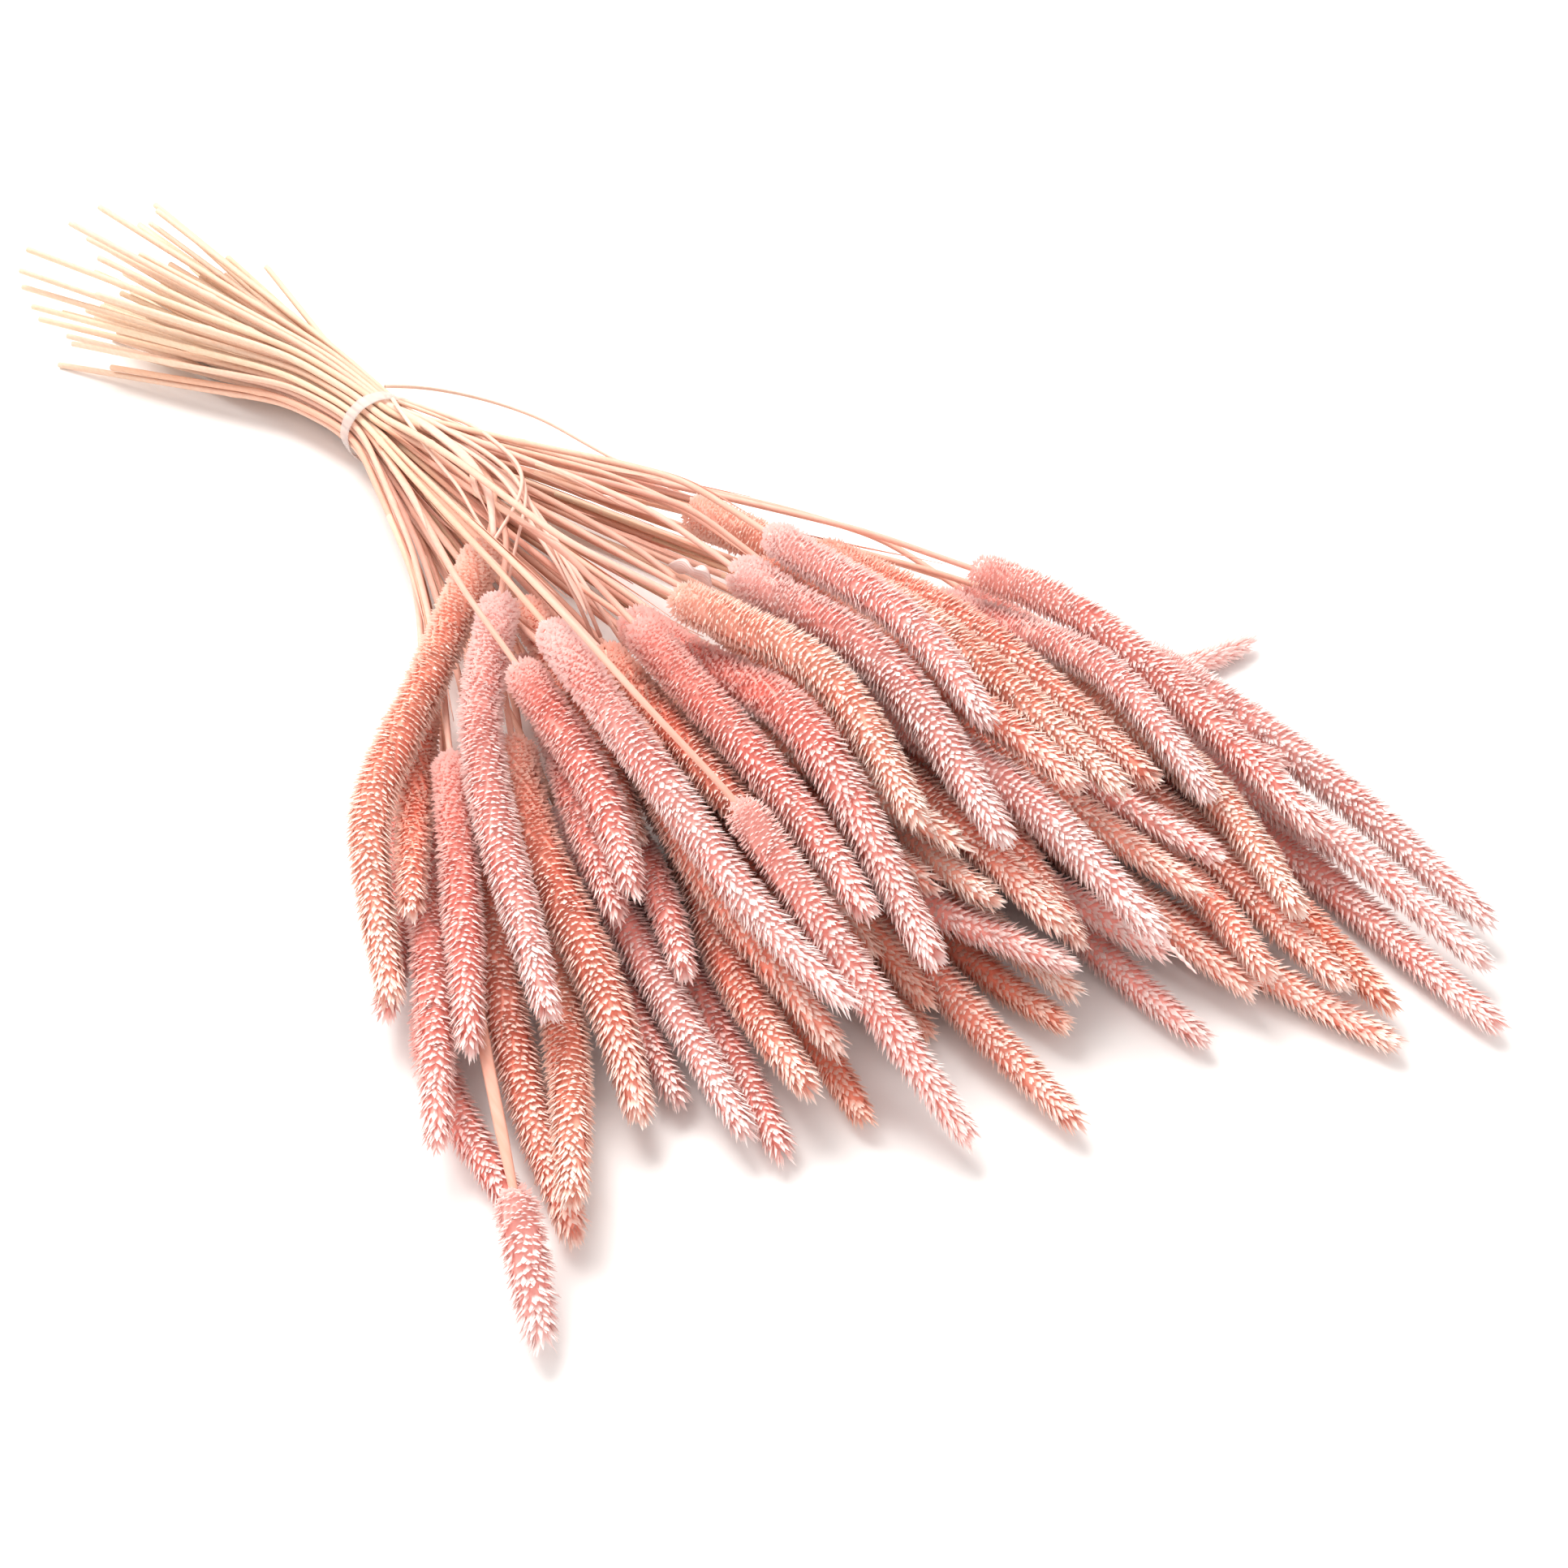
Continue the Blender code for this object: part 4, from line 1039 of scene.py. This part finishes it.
class GRASS_OT_leaves(bpy.types.Operator):
    """Makes the dried leaves on the stems, the loose straws over them and the three loose leaves"""

    bl_idname = "grass.leaves"
    bl_label = "Leaves and loose straws"

    def execute(self, context):
        scene = context.scene
        sizes = scene.grass_stem_sizes
        straw = bpy.data.materials["dried_straw"]
        paper = leaf_material(scene.grass_trimmings)
        draw = np.random.default_rng(LEAF_SEED)
        strips = Surface("along", "inside", "hue", "shade")
        for _, _, stem, _, _ in all_stalks():
            for _ in range(draw.binomial(2, sizes.leafy_share)):
                leaf_strip(strips, Path(stem), sizes.neck_width / 2, draw)
        piece("stem_leaves", strips, straw, "straw")
        loose = Surface("along", "inside", "hue", "shade")
        for shape in LOOSE_STRAWS:
            loose_straw(loose, *shape)
        piece("loose_straws", loose, straw, "straw")
        for name, shape in LOOSE_LEAVES.items():
            finish = paper if name == PAPERY_LEAF else straw
            piece(f"{name}_sheet", dried_leaf(name, *shape), finish, "straw", name)
        return {"FINISHED"}


class GRASS_OT_tie(bpy.types.Operator):
    """Makes the band that holds the stems together"""

    bl_idname = "grass.tie"
    bl_label = "Tie"

    def execute(self, context):
        band = Surface()
        tie_band(band, [stem for _, _, stem, _, _ in all_stalks()])
        piece("tie_band", band, band_material(context.scene.grass_trimmings), "band", "tie")
        return {"FINISHED"}


class GRASS_OT_stage(bpy.types.Operator):
    """Makes the floor, the soft lights and the camera at the photograph's angle"""

    bl_idname = "grass.stage"
    bl_label = "Stage"

    def execute(self, context):
        settings = context.scene.grass_stage
        context.scene.view_settings.view_transform = "Standard"
        add_floor(settings)
        add_lights(context.scene, settings)
        add_camera(context.scene)
        return {"FINISHED"}


# The stage


def ground_frame():
    """The camera's ground frame in the part's: its turn, and the tie's foot."""
    low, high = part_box("tie")
    foot = np.array([(low[0] + high[0]) / 2, (low[1] + high[1]) / 2, 0.0])
    c, s = math.cos(CAMERA_TURN), math.sin(CAMERA_TURN)
    return np.array([[c, -s, 0], [s, c, 0], [0, 0, 1]]), foot


def add_floor(settings):
    """A plain square floor at height 0."""
    mesh = bpy.data.meshes.new("floor")
    corners = [(x * FLOOR_HALF, y * FLOOR_HALF, 0) for x, y in ((-1, -1), (1, -1), (1, 1), (-1, 1))]
    mesh.from_pydata(corners, [], [(0, 1, 2, 3)])
    floor = bpy.data.objects.new("floor", mesh)
    bpy.context.scene.collection.objects.link(floor)
    shader = Shader("pale_floor")
    shader.set("Base Color", tuple(settings.floor))
    shader.set("Roughness", 0.6)
    shader.set("Specular IOR Level", 0.2)
    mesh.materials.append(shader.material)


def add_light(name, power, place, aim, colour):
    """A square area light at a place in the camera's ground frame, turned towards a point."""
    turn, foot = ground_frame()
    lamp = bpy.data.lights.new(name, "AREA")
    lamp.shape = "SQUARE"
    lamp.size = LIGHT_SIDE
    lamp.energy = power
    lamp.color = colour
    thing = bpy.data.objects.new(name, lamp)
    bpy.context.scene.collection.objects.link(thing)
    start = turn @ np.array(place) + foot
    end = turn @ np.array(aim) + foot
    away = start - end
    away /= np.linalg.norm(away)
    right = np.cross([0.0, 0.0, 1.0], away)
    right /= np.linalg.norm(right)
    up = np.cross(away, right)
    thing.matrix_world = Matrix([[right[k], up[k], away[k], start[k]] for k in range(3)] + [[0, 0, 0, 1]])


def add_lights(scene, settings):
    """The even light from all round and the two soft lamps."""
    world = bpy.data.worlds.new("studio")
    world.use_nodes = True
    background = world.node_tree.nodes["Background"]
    background.inputs["Color"].default_value = (*SKY_COLOUR, 1.0)
    background.inputs["Strength"].default_value = settings.sky
    scene.world = world
    add_light("key", settings.key_power, *KEY_LIGHT)
    add_light("fill", settings.fill_power, *FILL_LIGHT)


def add_camera(scene):
    """The photograph's camera: its height, pitch and focal length, in the tie's ground frame."""
    turn, foot = ground_frame()
    place = turn @ np.array([*CAMERA_FROM_TIE, CAMERA_HEIGHT]) + foot
    right = turn @ np.array([1.0, 0.0, 0.0])
    up = turn @ np.array([0.0, math.sin(CAMERA_PITCH), math.cos(CAMERA_PITCH)])
    back = turn @ np.array([0.0, -math.cos(CAMERA_PITCH), math.sin(CAMERA_PITCH)])
    camera = bpy.data.cameras.new("camera")
    camera.sensor_width = 36.0
    camera.lens = FOCAL_PIXELS / PHOTO_SIDE * camera.sensor_width
    camera.clip_start = 0.01
    thing = bpy.data.objects.new("camera", camera)
    scene.collection.objects.link(thing)
    thing.matrix_world = Matrix([[right[k], up[k], back[k], place[k]] for k in range(3)] + [[0, 0, 0, 1]])
    scene.camera = thing


class GRASS_PT_bunch(bpy.types.Panel):
    """Lists the steps that dress the bunch, and their settings"""

    bl_idname = "GRASS_PT_bunch"
    bl_label = "Dried timothy grass"
    bl_space_type = "VIEW_3D"
    bl_region_type = "UI"
    bl_category = "Grass"

    def draw(self, context):
        for operator in OPERATORS:
            self.layout.operator(operator.bl_idname)
        for name in SETTINGS:
            group = getattr(context.scene, f"grass_{name}")
            box = self.layout.box()
            box.label(text=name.replace("_", " ").capitalize())
            for field in group.__annotations__:
                box.prop(group, field)


SETTINGS = {
    "head_sizes": GRASS_PG_head_sizes,
    "stem_sizes": GRASS_PG_stem_sizes,
    **DYE_GROUPS,
    "straw": GRASS_PG_straw,
    "trimmings": GRASS_PG_trimmings,
    "stage": GRASS_PG_stage,
}
OPERATORS = (GRASS_OT_stalks, GRASS_OT_leaves, GRASS_OT_tie, GRASS_OT_stage)
CLASSES = (*SETTINGS.values(), *OPERATORS, GRASS_PT_bunch)


def register():
    for kind in CLASSES:
        bpy.utils.register_class(kind)
    for name, kind in SETTINGS.items():
        setattr(bpy.types.Scene, f"grass_{name}", PointerProperty(type=kind))


def unregister():
    for name in SETTINGS:
        delattr(bpy.types.Scene, f"grass_{name}")
    for kind in reversed(CLASSES):
        bpy.utils.unregister_class(kind)


def main():
    register()
    bpy.ops.grass.stalks()
    bpy.ops.grass.leaves()
    bpy.ops.grass.tie()
    bpy.ops.grass.stage()


if __name__ == "__main__":
    main()
